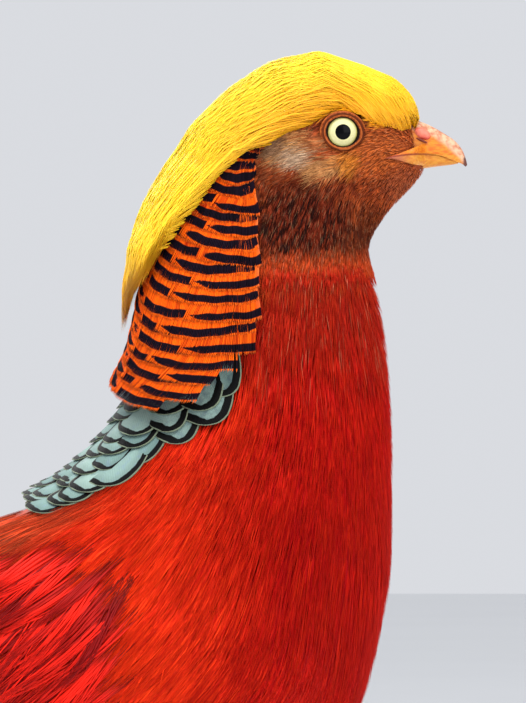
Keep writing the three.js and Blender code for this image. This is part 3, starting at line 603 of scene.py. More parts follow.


# Long scarlet locks of the side, darker at the root as painted shade for the gaps between locks
def lockFinish():
    finish = Finish("side_locks", Roughness=0.5, Specular_IOR_Level=0.12)
    along = finish.mark("along")
    return finish.painted(finish.over(
        finish.blend(finish.ramp(finish.mark("tone"), 0.15, 0.85), (128, 10, 10), (236, 34, 18)),
        # painted shade at the roots, standing in for the gaps between locks
        (finish.ramp(along, 0.35, 0.0) * 0.8, (84, 20, 12)),
        (finish.ramp(along, 0.7, 1.0) * 0.25, (222, 50, 52)),
    ))


def skinFinish():
    finish = Finish("skin", Roughness=0.7, Specular_IOR_Level=0.2)
    where = finish.place()
    finish.bump(finish.noise(where, 900), 0.5)
    # The plumage colours darkened to 0.6: painted shade for the skin seen between the feathers.
    return finish.painted(finish.tint(bodyPaint(finish, where), 0.6))


def give(piece, material, slot, *nodes):
    piece.data.materials.clear()
    piece.data.materials.append(material)
    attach(piece, "root")
    if nodes:
        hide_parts(*nodes)
    return piece


# Skin: the flesh solids as one closed surface, drawn in by the depth of the coat
skinLayer = {
    "voxel": 0.0018, "smoothing": 7, "headDepth": 0.5, "bodyDepth": 2.6, "headFrom": (270, 305),
    "socket": 1.5, "socketReach": (9.4, 7.2),
}


def makeSkin():
    flesh = ("head", "neck", "torso", "thigh_right", "thigh_left")
    deselectAll()
    for node in flesh:
        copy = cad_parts[node].copy()
        copy.data = copy.data.copy()
        bpy.context.scene.collection.objects.link(copy)
        for key in list(copy.keys()):
            del copy[key]
        copy.parent = None
        copy.select_set(True)
        bpy.context.view_layer.objects.active = copy
    bpy.ops.object.join()
    skin = bpy.context.object
    skin.name = "skin"
    bpy.ops.object.mode_set(mode="EDIT")
    bpy.ops.mesh.select_all(action="SELECT")
    bpy.ops.mesh.remove_doubles(threshold=0.00001)
    bpy.ops.object.mode_set(mode="OBJECT")
    fusing = skin.modifiers.new("fuse", "REMESH")
    fusing.mode = "VOXEL"
    fusing.voxel_size = skinLayer["voxel"]
    bpy.ops.object.modifier_apply(modifier="fuse")
    smoothing = skin.modifiers.new("smooth", "SMOOTH")
    smoothing.iterations = skinLayer["smoothing"]
    bpy.ops.object.modifier_apply(modifier="smooth")
    mesh = skin.data
    points = np.empty(len(mesh.vertices) * 3)
    mesh.vertices.foreach_get("co", points)
    points = points.reshape(-1, 3)
    normals = np.empty(len(mesh.vertices) * 3)
    mesh.vertices.foreach_get("normal", normals)
    drawn = points * metre - shift
    onHead = eased(*skinLayer["headFrom"], drawn[:, 2])
    depth = between(skinLayer["bodyDepth"], skinLayer["headDepth"], onHead)
    depth = depth + skinLayer["socket"] * eased(*skinLayer["socketReach"], fromEye(drawn))
    points -= normals.reshape(-1, 3) * depth[:, None] * millimetre
    mesh.vertices.foreach_set("co", points.ravel())
    mesh.update()
    bpy.ops.object.shade_smooth()
    give(skin, skinFinish(), "body_skin", *flesh)
    print("skin", len(mesh.polygons))


# Eyes: balls whose poles look out along the eye's axis
iris = {"pupil": 2.5, "rim": 4.65}


def eyeAxis(side):
    x, y, z = eye["axis"]
    return Vector((x, side * y, z)).normalized()


def eyeCentre(side):
    return Vector((eye["x"], side * eye["y"], eye["z"]))


def eyeTurn(side):
    return eyeAxis(side).to_track_quat("Z", "Y")


# Millimetres from the eye's axis, measured on the surface itself.
def awayFromAxis(finish, side):
    centre = tuple(toFrame(np.array(eyeCentre(side))))
    local = finish.node("ShaderNodeVectorMath", {"operation": "SUBTRACT"}, {0: finish.place(), 1: centre})
    cross = finish.node("ShaderNodeVectorMath", {"operation": "CROSS_PRODUCT"},
                        {0: local, 1: tuple(eyeAxis(side))})
    length = finish.node("ShaderNodeVectorMath", {"operation": "LENGTH"}, {0: cross}, "Value")
    return length * metre, local


def eyeFinish(name, side):
    finish = Finish("eye_" + name, Roughness=0.3, Specular_IOR_Level=0.02, Coat_Weight=0.08,
                    Coat_Roughness=0.03)
    away, local = awayFromAxis(finish, side)
    fibres = finish.noise(local, 1400, 4) - 0.5
    yellow = finish.blend(finish.ramp(away + fibres, 3.9, 4.9), (206, 200, 148), (186, 176, 92))
    yellow = finish.tint(yellow, 0.94 + fibres * 0.3)
    colour = finish.blend(finish.ramp(away, iris["rim"], iris["rim"] + 0.25), yellow, (34, 16, 10))
    inPupil = finish.ramp(away, iris["pupil"], iris["pupil"] + 0.12)
    return finish.painted(finish.blend(inPupil, (4, 4, 6), colour))


def lidFinish():
    finish = Finish("lids", Roughness=0.55, Specular_IOR_Level=0.06)
    reach = finish.mark("reach")
    grain = finish.noise(finish.place(), 1500, 3)
    folds = (reach * 9 + grain * 2).wave()
    line = finish.ramp((reach - 6.5 + grain * 0.5).size(), 0.55, 0.2)
    finish.bump(folds * 0.5 + grain * 0.5, 0.4, 0.0002)
    return finish.painted(finish.over(
        finish.blend(finish.ramp(grain + folds * 0.12, 0.35, 0.65), (118, 50, 18), (162, 84, 38)),
        (line * 0.85, (58, 18, 6)),
        (finish.ramp(reach + grain * 0.2, 5.35, 5.05), (16, 8, 7)),
    ))


lid = {
    "ring": 5.95, "tube": 1.28, "out": 5.35, "flat": 0.66, "wide": 1.06, "high": 0.96,
    "corner": (0.95, 0, -0.3), "front": 1.3, "foldFrom": 5.4, "inner": 4.6,
}


def makeEye(name, side, material):
    axis, turn = eyeAxis(side), eyeTurn(side)
    centre = toFrame(np.array(eyeCentre(side)))
    deselectAll()
    bpy.ops.mesh.primitive_uv_sphere_add(segments=64, ring_count=40, radius=eye["radius"] * millimetre,
                                         location=centre, rotation=turn.to_euler())
    give(settled("eyeball_" + name), eyeFinish(name, side), "eye", "eye_" + name)
    # The lids are one ring, drawn out to a point at the front corner.
    middle = centre + np.array(axis) * lid["out"] * millimetre
    deselectAll()
    bpy.ops.mesh.primitive_torus_add(location=middle, rotation=turn.to_euler(), major_segments=72,
                                     minor_segments=18, major_radius=lid["ring"] * millimetre,
                                     minor_radius=lid["tube"] * millimetre)
    ring = settled("lids_" + name)
    forward = Vector(lid["corner"]).normalized()
    reaches = []
    for vertex in ring.data.vertices:
        offset = vertex.co - Vector(middle)
        out = offset.dot(axis)
        flat = offset - axis * out
        reach = flat.length * metre
        point = max(flat.normalized().dot(forward), 0) ** 16 * lid["front"]
        flat = flat * (1 + point * max(reach - lid["foldFrom"], 0) / 2.4 / reach)
        flat.x *= lid["wide"]
        flat.z *= between(1, lid["high"], min(max(reach - 5, 0), 1))
        vertex.co = Vector(middle) + flat + axis * out * lid["flat"]
        toCorner = abs(flat.normalized().dot(forward)) ** 7
        reaches.append(reach - 0.75 * toCorner * max(0, 1 - (reach - lid["inner"]) / 1.5))
    ring.data.attributes.new("reach", "FLOAT", "POINT").data.foreach_set("value", reaches)
    give(ring, material, "face_skin")


def makeEyes():
    material = lidFinish()
    for name, side in sides:
        makeEye(name, side, material)


# Bill: each half is drawn out ring by ring from the gape to the tip
bill = {
    "upper": [
        (113.2, 349.0, 109.4, 336.0, 6.0), (117.6, 348.6, 114.0, 336.3, 5.8),
        (122.6, 346.6, 119.2, 337.0, 5.1), (126.6, 344.3, 123.8, 337.0, 4.5),
        (130.2, 341.9, 127.6, 336.0, 3.7), (132.7, 338.9, 130.4, 334.8, 2.7),
        (133.9, 335.9, 132.6, 334.2, 1.5), (134.45, 333.7, 133.9, 333.1, 0.5),
    ],
    "lower": [
        (109.2, 336.0, 110.6, 331.4, 5.2), (114.0, 336.3, 115.0, 331.8, 5.0),
        (119.2, 337.0, 120.2, 332.6, 4.4), (123.8, 337.0, 124.4, 333.2, 3.7),
        (127.4, 336.0, 127.8, 333.6, 2.8), (129.8, 335.4, 130.0, 333.9, 2.0),
        (131.4, 334.8, 131.5, 334.3, 0.8),
    ],
    "rings": {"upper": 22, "lower": 14}, "sides": 32,
}
nostril = {
    "at": (119.5, 4.1, 343.9),
    "flap": {"size": (2.9, 1.4, 1.9), "offset": (0, 0, 0), "tilt": 28},
    "slit": {"size": (2.1, 0.8, 0.4), "offset": (-0.2, 0.75, -2.15), "tilt": 24},
}


def billRing(row, arch):
    topX, topZ, edgeX, edgeZ, half = row
    ring = []
    for k in range(bill["sides"]):
        a = 2 * math.pi * k / bill["sides"]
        c, s = math.cos(a), math.sin(a)
        arched = c > 0 if arch > 0 else c < 0
        rise = abs(c) ** 0.9 if arched else 0
        up = rise if arch > 0 else 1 - rise
        wide = math.copysign(abs(s) ** 0.8, s) if arched else s
        ring.append((between(edgeX, topX, up), wide * half, between(edgeZ, topZ, up)))
    return toFrame(np.array(ring))


def drawnOut(name, rings):
    deselectAll()
    bpy.ops.mesh.primitive_circle_add(vertices=len(rings[0]), radius=0.01, fill_type="NGON")
    piece = bpy.context.object
    piece.name = name
    bpy.ops.object.mode_set(mode="EDIT")
    shape = bmesh.from_edit_mesh(piece.data)
    for k, ring in enumerate(rings):
        if k:
            bpy.ops.mesh.extrude_region_move()
            shape = bmesh.from_edit_mesh(piece.data)
        picked = sorted((v for v in shape.verts if v.select), key=lambda v: v.index)
        for vertex, place in zip(picked, ring):
            vertex.co = place
        bmesh.update_edit_mesh(piece.data)
    bpy.ops.mesh.select_all(action="SELECT")
    bpy.ops.mesh.normals_make_consistent(inside=False)
    bpy.ops.object.mode_set(mode="OBJECT")
    bpy.ops.object.shade_smooth()
    return piece


def billFinish():
    finish = Finish("bill", Roughness=0.42, Specular_IOR_Level=0.2, Coat_Weight=0.08)
    where = finish.place()
    x, _, z = finish.axes(where)
    grain = finish.noise(where, 520, 5)
    below = 349.2 - 0.031 * (x - 114) ** 2 - z  # under the ridge of the upper bill
    seam = 337.2 - 0.007 * (x - 121.5) ** 2
    lengthwise = finish.node("ShaderNodeMapping", {}, {"Vector": where, "Scale": (0.25, 1, 1)})
    streaks = finish.noise(lengthwise, 1500)
    stripes = finish.ramp(streaks, 0.3, 0.7)
    horn = finish.blend(finish.ramp(grain, 0.36, 0.6), (176, 112, 84), (208, 164, 132))
    side = finish.blend(stripes, (184, 88, 10), (204, 122, 20))
    side = finish.blend(finish.ramp(x + grain * 5, 120, 111), side, (188, 88, 40))
    under = finish.blend(stripes, (186, 108, 28), (202, 136, 46))
    under = finish.blend(finish.ramp(x + grain * 5, 121, 112), under, (164, 88, 58))
    side = finish.blend(finish.ramp(z - seam, 0.15, -0.15), side, under)
    line = finish.ramp((z - seam + grain * 0.3 - 0.15).size(), 0.5, 0.1) * finish.ramp(x, 127, 117)
    finish.bump(grain * 0.8 + streaks * 0.4 - line, 0.4, 0.00025)
    return finish.painted(finish.over(
        finish.blend(finish.ramp(below + grain * 2.4, 3.8, 6.0), horn, side),
        (line * 0.85, (112, 34, 18)),
        (finish.ramp(x + (338 - z) * 0.25 + grain * 1.6, 134.2, 135.2), (92, 52, 44)),
    ))


# The horn reaches back to the corner of the mouth as a wedge that lies on the face.
gape = {"back": 107.2, "front": 122.2, "low": 2.0, "high": 5.8, "rows": 36, "columns": 14}


# Where a point of the side view lies on the body: place and turn by a few Newton steps.
def inSideView(x, z, side):
    place = 1.5 + 0 * x
    turn = 1.9 * side + 0 * x
    for _ in range(14):
        off = onBody(place, turn)
        down, around = slopes(place, turn)
        errorX, errorZ = x - off[..., 0], z - off[..., 2]
        area = down[..., 0] * around[..., 2] - down[..., 2] * around[..., 0]
        place = place + np.clip((errorX * around[..., 2] - errorZ * around[..., 0]) / area, -0.4, 0.4)
        turn = turn + np.clip((down[..., 0] * errorZ - down[..., 2] * errorX) / area, -0.3, 0.3)
    return place, turn


def gapeEdges(x):
    u = np.clip((x - gape["back"]) / (gape["front"] - gape["back"]), 0, 1)
    low = 335.55 - gape["low"] * eased(0.05, 0.75, u)
    high = 335.75 + gape["high"] * u ** 1.12
    return low, high


# Half the width of the closed bill at a point of its side view
def billHalf(x, z):
    found = []
    for rows, arch in ((bill["upper"], 1), (bill["lower"], -1)):
        topX, topZ, edgeX, edgeZ, half = np.array(rows).T
        top, edge, wide = (np.interp(x, edgeX if arch > 0 else topX, v) for v in (topZ, edgeZ, half))
        rise = (z - edge if arch > 0 else top - z) / (top - edge)
        found.append((rise > 0, wide * (1 - np.clip(rise, 0, 1) ** 2.2) ** 0.4))
    return np.where(found[0][0], found[0][1], found[1][1])


def makeGape(name, side, material):
    u = np.linspace(0, 1, gape["rows"])[:, None]
    v = np.linspace(0, 1, gape["columns"])[None]
    x = between(gape["back"], gape["front"], u) + 0 * v
    low, high = gapeEdges(x)
    z = between(low, high, v)
    face = onBody(*inSideView(np.minimum(x, 115.4), z, side))[..., 1]
    rim = np.minimum(1, 5 * np.minimum(v, 1 - v)) * np.minimum(1, 8 * u)
    rise = 0.15 + 0.45 * rim
    horn = billHalf(x, z) + 0.15 - 0.9 * eased(120.6, gape["front"], x)
    y = between(np.abs(face) + rise, horn, eased(116.2, 120.8, x)) * side
    over = np.stack([x, y, z], -1)[None]
    under = np.stack([x, y - side * 1.2, z], -1)[None]
    piece = vaneMesh("gape_" + name, over, under, {"across": z[None]})
    give(piece, material, "horn")


def flapFinish():
    finish = Finish("nostril_flap", Roughness=0.4, Specular_IOR_Level=0.4)
    grain = finish.noise(finish.place(), 500)
    z = finish.axes(finish.place())[2]
    flesh = finish.blend(grain, (206, 88, 66), (230, 132, 108))
    finish.bump(grain, 0.4)
    return finish.painted(finish.blend(finish.ramp(z + grain, 344.0, 342.6), flesh, (176, 48, 30)))


def slitFinish():
    finish = Finish("nostril", Roughness=0.8)
    return finish.painted(finish.blend(finish.noise(finish.place(), 400), (96, 30, 20), (128, 52, 34)))


def makeBill():
    finish = billFinish()
    for half, arch in (("upper", 1), ("lower", -1)):
        rows = np.array(bill[half])
        finer = alongRows(rows, np.linspace(0, len(rows) - 1, bill["rings"][half]))
        piece = drawnOut("bill_" + half + "_horn", [billRing(row, arch) for row in finer])
        smoothing = piece.modifiers.new("finer", "SUBSURF")
        smoothing.levels = smoothing.render_levels = 1
        bpy.ops.object.modifier_apply(modifier="finer")
        bpy.ops.object.shade_smooth()
        give(piece, finish, "horn", "bill_" + half)
    for name, side in sides:
        makeGape(name, side, finish)
    materials = {"flap": flapFinish(), "slit": slitFinish()}
    for name, side in sides:
        for kind, material in materials.items():
            x, y, z = np.add(nostril["at"], nostril[kind]["offset"])
            deselectAll()
            bpy.ops.mesh.primitive_uv_sphere_add(segments=32, ring_count=20, radius=millimetre,
                                                 location=toFrame(np.array([x, side * y, z])))
            piece = settled("nostril_" + kind + "_" + name, nostril[kind]["size"], nostril[kind]["tilt"])
            give(piece, material, "horn")
    print("bill")


# Body feathers
def onCrest(place, turn):
    return (place < 5.3) & (np.abs(turn) < crestReach(place) * 0.94)


def underCape(place, turn, margin=0.1):
    return (place > 5.1) & (place < 7.9) & (np.abs(turn) < capeReach(place) - margin)


def fromEye(point):
    away = np.full(point.shape[:-1], 1e9)
    for _, side in sides:
        offset = point - np.array(eyeCentre(side))
        along = offset @ np.array(eyeAxis(side))
        flat = np.linalg.norm(offset - along[..., None] * np.array(eyeAxis(side)), axis=-1)
        away = np.where(along > 0, np.minimum(away, flat), away)
    return away


def clearOfEyes(centre):
    return fromEye(centre).min(axis=1) > 6.7


# The lie of the body feathers turns from the back towards the belly as they run to the tail.
def towardsBelly(place, turn):
    lean = through([(8, 0.06), (9.2, 0.14), (10, 0.32), (10.8, 0.42), (12.5, 0.12), (13.2, 0)], place)
    return np.sign(turn) * lean * eased(0.1, 0.5, np.abs(turn)) * eased(3.1, 2.7, np.abs(turn))


def towardsBack(place, turn):
    return -0.55 * np.sign(turn)


def onGape(point):
    low, high = gapeEdges(point[..., 0])
    inside = (point[..., 2] > low + 0.1) & (point[..., 2] < high - 0.1)
    return inside & (point[..., 0] > gape["back"] + 0.6)


def faceGround(place, turn, point):
    x, z = point[..., 0], point[..., 2]
    ofFace = (z > 298.5) & (x < np.where(z < 333, 121.5, 117.8))
    clear = (fromEye(point) > 6.3) & ~onGape(point)
    return ofFace & clear & ~onCrest(place, turn) & ~underCape(place, turn, 0.05)


def earGround(place, turn, point):
    return np.hypot((point[..., 0] - 81) / 12.5, (point[..., 2] - 336.5) / 8) < 1


def neckGround(place, turn, point):
    return (point[..., 2] < 307) & ~underCape(place, turn)


def breastGround(place, turn, point):
    onMantle = (place < 9.5) & (np.abs(turn) < mantleReach(place) - 0.24)
    return ~underCape(place, turn) & ~onMantle


def bellyGround(place, turn, point):
    onRump = (np.abs(turn) < rumpReach(place) * 0.8) & (point[..., 0] < -46)
    onWing = (point[..., 0] < -12) & (np.abs(turn) > wingTop(place) + 0.1)
    onWing &= np.abs(turn) < wingLow(place) - 0.3
    onMantle = (place < 9.6) & (np.abs(turn) < mantleReach(place))
    return ~onRump & ~onWing & ~onMantle


def sideGround(place, turn, point):
    return (np.abs(turn) > wingTop(place) + 0.12) & (np.abs(turn) < 2.15) & (point[..., 0] < 24)


coats = {
    "face": {
        "places": (0.15, 6.9), "ground": faceGround, "seed": 11, "slot": "face_skin",
        "count": 15500, "perLock": 1, "spread": 0.1, "stations": 3, "sway": 0.5, "draw": 0,
        "length": [(0, 1.6), (1.5, 2.2), (3, 3.2), (5, 5), (6.5, 7)],
        "width": [(0, 0.32), (3, 0.4), (6, 0.5)], "lift": (-0.5, 0.15), "layer": 0.5, "clear": clearOfEyes,
        "rows": 0.11, "settle": [(0.2, 0.75), (1.6, 0)],
    },
    "ear": {
        "places": (2.5, 6.0), "ground": earGround, "seed": 15, "slot": "face_skin",
        "count": 420, "perLock": 7, "spread": 0.8, "stations": 3, "sway": 0.7, "draw": 0.4,
        "length": 6.5, "width": 0.32, "lift": (-0.3, 0.5), "layer": 0.6, "clear": clearOfEyes,
        "steer": towardsBack,
    },
    "neck": {
        "places": (4.9, 8.2), "ground": neckGround, "seed": 12, "slot": "body_skin",
        "count": 1800, "perLock": 9, "spread": 1.7, "stations": 3, "sway": 0.7, "draw": 0.3,
        "length": [(5, 9), (6, 14), (8, 22)],
        "width": [(5, 0.4), (8, 0.48)], "lift": (-2.4, -0.4), "layer": 1.0,
    },
    "breast": {
        "places": (8.0, 10.1), "ground": breastGround, "seed": 13, "slot": "body_skin", "base": flankRise,
        "count": 3750, "perLock": 8, "spread": 2.4, "stations": 3, "sway": 0.45, "draw": 0.25,
        "lockSway": 0.4, "length": [(8, 26), (9.5, 34), (11, 34)], "width": 0.48, "lift": (-2.6, -0.3),
        "layer": 1.1, "steer": towardsBelly, "halved": True,
    },
    "belly": {
        "places": (9.9, 13.7), "ground": bellyGround, "seed": 14, "slot": "body_skin", "base": flankRise,
        "count": 2150, "perLock": 7, "spread": 2.6, "stations": 3, "sway": 1.2, "draw": 0.5, "lockSway": 1.5,
        "length": [(9.5, 26), (11, 26), (12.4, 34), (13.4, 40)], "width": 0.95, "lift": (-2.6, -0.3),
        "layer": 1.4, "vary": (0.55, 1.2), "settle": [(12.8, 0), (14.6, 0.8)], "steer": towardsBelly,
    },
    "side": {
        "places": (9.5, 10.75), "ground": sideGround, "seed": 16, "slot": "body_skin", "base": flankRise,
        "count": 250, "perLock": 14, "spread": 1.7, "stations": 4, "sway": 0.2, "draw": 0.95,
        "lockSway": 4.2, "asOne": 0.9, "length": [(9.5, 36), (11, 44)], "width": 0.66,
        "lift": (-0.8, 1.8), "layer": 2.2, "steer": towardsBelly, "lockTone": 0.75,
    },
}


def makeBodyFeathers():
    material = coatFinish("body_feathers")
    locks = lockFinish()
    for name, coat in coats.items():
        region = (coat["places"], (-math.pi, math.pi))
        roots = scatter(coat["count"], *region, coat["ground"], coat["seed"])
        parts = {"": roots}
        if "halved" in coat:
            parts = {"right_": roots[:, roots[1] < 0], "left_": roots[:, roots[1] >= 0]}
        for part, ofPart in parts.items():
            piece = laidStrands(part + name + "_feathers", ofPart, coat, region, coat["seed"] + 50)
            give(piece, locks if name == "side" else material, coat["slot"])
            print(part + name, len(piece.data.polygons))


# Crest: long silky strands from the forehead back over the nape
crest = {
    "locks": {
        "crown": {
            "count": 6400, "roots": (0.02, 3.4), "length": 42, "width": 0.56, "stations": 6, "seed": 70,
        },
        "mane": {
            "count": 6700, "roots": (3.0, 6.75), "length": 52, "width": 0.62, "stations": 5, "seed": 71,
        },
    },
    # The strands of the brow climb steeply before they sweep back.
    "climb": [(0.3, 0.7), (1.5, 0.5), (3, 0.22), (5, 0.06)],
    "steep": [(0.1, 7), (1, 4), (2.2, 1.8)],
    "lowest": 7.62, "clearOfEye": 6.5, "ridge": 0.17,
}


def crestFinish():
    finish = Finish("crest_silk", Roughness=0.45, Specular_IOR_Level=0.25, Subsurface_Weight=0.3,
                    Subsurface_Radius=(1.0, 0.8, 0.2), Subsurface_Scale=0.002)
    x, _, z = finish.axes(finish.place())
    tone, edge = finish.mark("tone"), finish.mark("edge")
    colour = finish.over(
        finish.blend(finish.ramp(tone, 0.1, 0.7), (252, 182, 12), (255, 216, 34)),
        (finish.ramp(edge + tone * 0.2, 0.62, 1.08) * finish.ramp(x, 40, 80) * 0.75, (244, 146, 8)),
        (finish.ramp(x, 102, 116) * 0.55, (248, 166, 12)),
        (finish.ramp(edge + tone * 0.3, 0.45, 0.95) * 0.35, (246, 164, 18)),
        (finish.ramp(z, 314, 286) * 0.9, (255, 166, 22)),
    )
    return finish.painted(strandPaint(finish, colour, 0.96, 1.08, 0.01, 0.97))


def makeCrest():
    finish = crestFinish()
    for name, locks in crest["locks"].items():
        dice = np.random.default_rng(locks["seed"])
        count = locks["count"]
        place = dice.uniform(*locks["roots"], count)
        share = np.clip(dice.uniform(-1.03, 1.03, count), -1, 1)
        t = np.linspace(0, 1, locks["stations"]) ** 1.25
        speed = np.linalg.norm(slopes(place + 0.4, share)[0], axis=-1)
        run = locks["length"] * dice.uniform(0.7, 1.15, count) / np.maximum(speed, 9)
        tip = np.minimum(place + run, crest["lowest"] - 0.5 * np.abs(share) - 0.14 * dice.random(count))
        climb = through(crest["climb"], place)[:, None] * np.sin(np.pi / 2 * np.minimum(1.5 * t, 1))[None]
        placeT = between(place[:, None], tip[:, None], between(t, t ** 1.6, 0.6)[None])
        shareT = share[:, None] * (1 - climb) + dice.normal(0, 0.01, count)[:, None] * t
        turnT = shareT * crestReach(placeT)
        layer = 1 - 0.6 * dice.random(count) ** 1.8
        steep = through(crest["steep"], place)[:, None]
        high = crestBase(placeT, turnT) + crestHeight(placeT, turnT) * (
            layer[:, None] * np.minimum(0.12 + steep * t, 1) * (1 - 0.1 * t ** 3))
        centre = offBody(placeT, turnT, high)
        # Towards the hanging tip the strands turn their flat sides outwards.
        rolled = turnT + 1.2 * shareT * eased(5.3, 6.8, placeT)
        normal = outward(placeT, np.clip(rolled, -1.6, 1.6))
        clear = fromEye(centre).min(axis=1) > crest["clearOfEye"]
        width = (locks["width"] * dice.uniform(0.7, 1.3, count))[:, None] * (
            np.minimum(0.5 + 1.5 * t, 1) * (1 - 0.7 * t ** 3))[None]
        tone = np.clip(0.6 * dice.random(count) + 0.4 * layer, 0, 1)
        unwrap = np.stack([(place - 0.2) / 6.6, share * 0.49 + 0.5], -1)
        piece = strandMesh("crest_" + name, centre[clear], normal[clear], width[clear],
                           width[clear] * crest["ridge"], unwrap[clear],
                           {"tone": tone[clear], "edge": np.abs(shareT)[clear]})
        give(piece, finish, "crest_plumage", *(["crest"] if name == "mane" else []))
        print("crest", name, len(piece.data.polygons))


# Cape: tiers of square feathers, each made of barbs laid side by side, with a dark bar near the end
cape = {
    "tiers": 22, "first": 5.34, "last": 8.3, "barb": 0.49, "feather": (16, 36), "length": (9, 24),
    "slope": 0.11, "bar": ((0.8, 3.8), (1.3, 4.7)), "bow": 0.65, "middle": (0.42, 0.62), "overlap": 1.55,
    "frontShare": ((0.95, 1.05), (0.4, 0.6)), "stations": (0.62, 0.34, 0.22, 0.13, 0.05, 0),
    "highestRoot": 5.02, "ridge": 0.22, "seed": 91,
}


# The lowest rows end before they come round to the breast.
def capeHem(turn):
    return through([(0.69, 8.36), (0.87, 8.24), (1.01, 8.1), (1.06, 7.93), (1.12, 7.76), (1.2, 7.61),
                    (1.29, 7.46), (1.42, 7.25)], turn)


def capeFinish():
    finish = Finish("cape_barbs", Roughness=0.6, Specular_IOR_Level=0.04)
    tone = finish.mark("tone")
    return finish.painted(finish.over(
        finish.blend(tone, (150, 26, 3), (244, 100, 12)),
        (finish.ramp(finish.mark("along"), 0.8, 1.0) * 0.35, (252, 160, 84)),
        (finish.mark("rim"), (214, 106, 56)),
        (finish.mark("inBar"), finish.blend(tone, (6, 4, 10), (22, 11, 24))),
    ))


def makeCape():
    dice = np.random.default_rng(cape["seed"])
    centres, normals, widths, unwraps = [], [], [], []
    marks = {"tone": [], "inBar": [], "rim": []}
    t = 1 - np.array(cape["stations"])
    for k in range(cape["tiers"]):
        down = k / (cape["tiers"] - 1)
        tipPlace = between(cape["first"], cape["last"], down ** 1.12)
        length = between(*cape["length"], down)
        reach = float(capeReach(tipPlace - 0.25))
        middle = between(*cape["middle"], min(2 * down, 1))
        speedAround = np.linalg.norm(slopes(tipPlace, 0.7)[1])
        speedDown = np.linalg.norm(slopes(tipPlace - 0.2, 0.5)[0])
        wide = between(*cape["feather"], down)
        halfTurn = wide / 2 / speedAround
        spacing = halfTurn * cape["overlap"]
        first = reach - halfTurn * dice.uniform(*cape["frontShare"][k % 2])
        perSide = max(2, math.ceil(first / spacing + 0.2))
        centreTurns = [(first - spacing * (i + dice.normal(0, 0.06))) * way for i in range(perSide)
                       for way in (1, -1)]
        centreTurns.append(dice.uniform(-0.1, 0.1))
        for i, turn in enumerate(centreTurns):
            low, high = (between(a, b, down) * dice.uniform(0.92, 1.08) for a, b in zip(*cape["bar"]))
            barbs = int(wide / cape["barb"])
            share = np.linspace(-1, 1, barbs) + dice.normal(0, 0.15 / barbs, barbs)
            barbTurn = turn + share * halfTurn
            line = tipPlace - cape["bow"] * (np.abs(barbTurn) - middle) ** 2
            nearHem = capeHem(np.abs(barbTurn))
            inside = (np.abs(barbTurn) < reach + 0.012) & (line < nearHem)
            if inside.sum() < barbs * 0.3:
                continue
            share, barbTurn = share[inside], barbTurn[inside]
            barbs = len(share)
            # The rear edge of each feather lies on the next one, and its bar thins out towards it.
            front = share * (1 if turn > 0 else -1)
            offset = dice.normal(0, 0.45) + 0.035 * wide * share ** 2
            tip = line[inside] - offset / speedDown
            ragged = dice.exponential(0.25, barbs)
            run = length / speedDown
            placeT = (tip - run)[:, None] + (run - ragged / speedDown)[:, None] * t
            placeT = np.maximum(placeT, cape["highestRoot"])
            along = (barbTurn / reach)[:, None] - (share * halfTurn / reach * 0.25)[:, None] * (1 - t)
            turnT = along * capeReach(np.maximum(placeT - 0.25, 5.2))
            fromTip = ragged[:, None] + (length - ragged)[:, None] * (1 - t)
            rise = capeHeight(placeT, turnT) - cape["slope"] * fromTip - 0.22 * front[:, None] - 0.1
            nearEdge = np.abs(barbTurn) / reach
            rise = rise * (1 - 0.72 * eased(0.8, 1.0, nearEdge))[:, None]
            rise = np.maximum(rise, 0.15 + 0.2 * down)
            centres.append(offBody(placeT, turnT, rise))
            normals.append(outward(placeT, turnT))
            widths.append(np.tile(cape["barb"] * 1.5 * (1 - 0.5 * t ** 8), (barbs, 1)))
            tone = np.clip(0.35 * dice.random() + 0.65 * dice.random(barbs) ** 0.7, 0, 1)
            taper = np.clip((1 + front) * 2.4, 0, 1) ** 0.7 * np.clip((1 - front) * 9, 0.5, 1)
            taper = np.where(nearEdge > 0.86, np.maximum(taper, 0.8), taper)[:, None]
            marks["tone"].append(tone)
            swing = 0.25 * np.sin(barbTurn * 7 + 2.3 * k + i) + 0.14 * np.sin(barbTurn * 31 + 1.7 * k)
            middleBar = (low + high) / 2 + swing[:, None]
            marks["inBar"].append((taper * (high - low) / 2 - np.abs(fromTip - middleBar)) / 0.25)
            edge = np.clip((np.abs(barbTurn) - reach + 0.03) / 0.03, 0, 1)
            marks["rim"].append(edge * 0.8 * dice.random(barbs))
            unwraps.append(np.stack([(tip - 5) / 3.4, barbTurn / 3 + 0.5], -1))
    gathered = {mark: np.concatenate(values) for mark, values in marks.items()}
    width = np.concatenate(widths)
    piece = strandMesh("cape_feathers", np.concatenate(centres), np.concatenate(normals), width,
                       width * cape["ridge"], np.concatenate(unwraps), gathered)
    give(piece, capeFinish(), "cape_plumage", "cape")
    print("cape", len(piece.data.polygons))


# Vanes that lie on the body: rows of rounded feathers, given by where root and tip are
def roundedVane(t):
    rounding = np.sqrt(np.clip(1 - np.clip((t - 0.62) / 0.38, 0, 1) ** 2.2, 0, 1))
    return (0.62 + 0.38 * np.sin(np.pi / 2 * np.minimum(1.7 * t, 1))) * rounding


def pointedVane(t):
    return np.where(t < 0.4, 0.7 + 0.75 * t, 1 - 0.97 * (np.clip(t - 0.4, 0, 1) / 0.6) ** 1.3)


# Many vanes in one mesh. lay gives one vane's upper and lower side and its marks, where t runs from
# root to tip and c across; grid says the rows, the columns and how the rows crowd towards the tip.
def layVanes(name, vanes, lay, grid):
    rows, columns, crowding = grid
    t = 1 - (1 - np.linspace(0, 1, rows)[:, None]) ** crowding
    c = np.linspace(-1, 1, columns)[None]
    laid = [lay(vane, t, c) for vane in vanes]
    over, under = (np.array([one[layer] for one in laid]) for layer in (0, 1))
    for vane, (_, _, marks) in zip(vanes, laid):
        marks.update({"tone": vane["tone"], "kind": vane.get("kind", 0)})
    marks = {mark: np.array([one[2][mark] + 0 * (t + c) for one in laid]) for mark in laid[0][2]}
    return vaneMesh(name, over, under, marks)


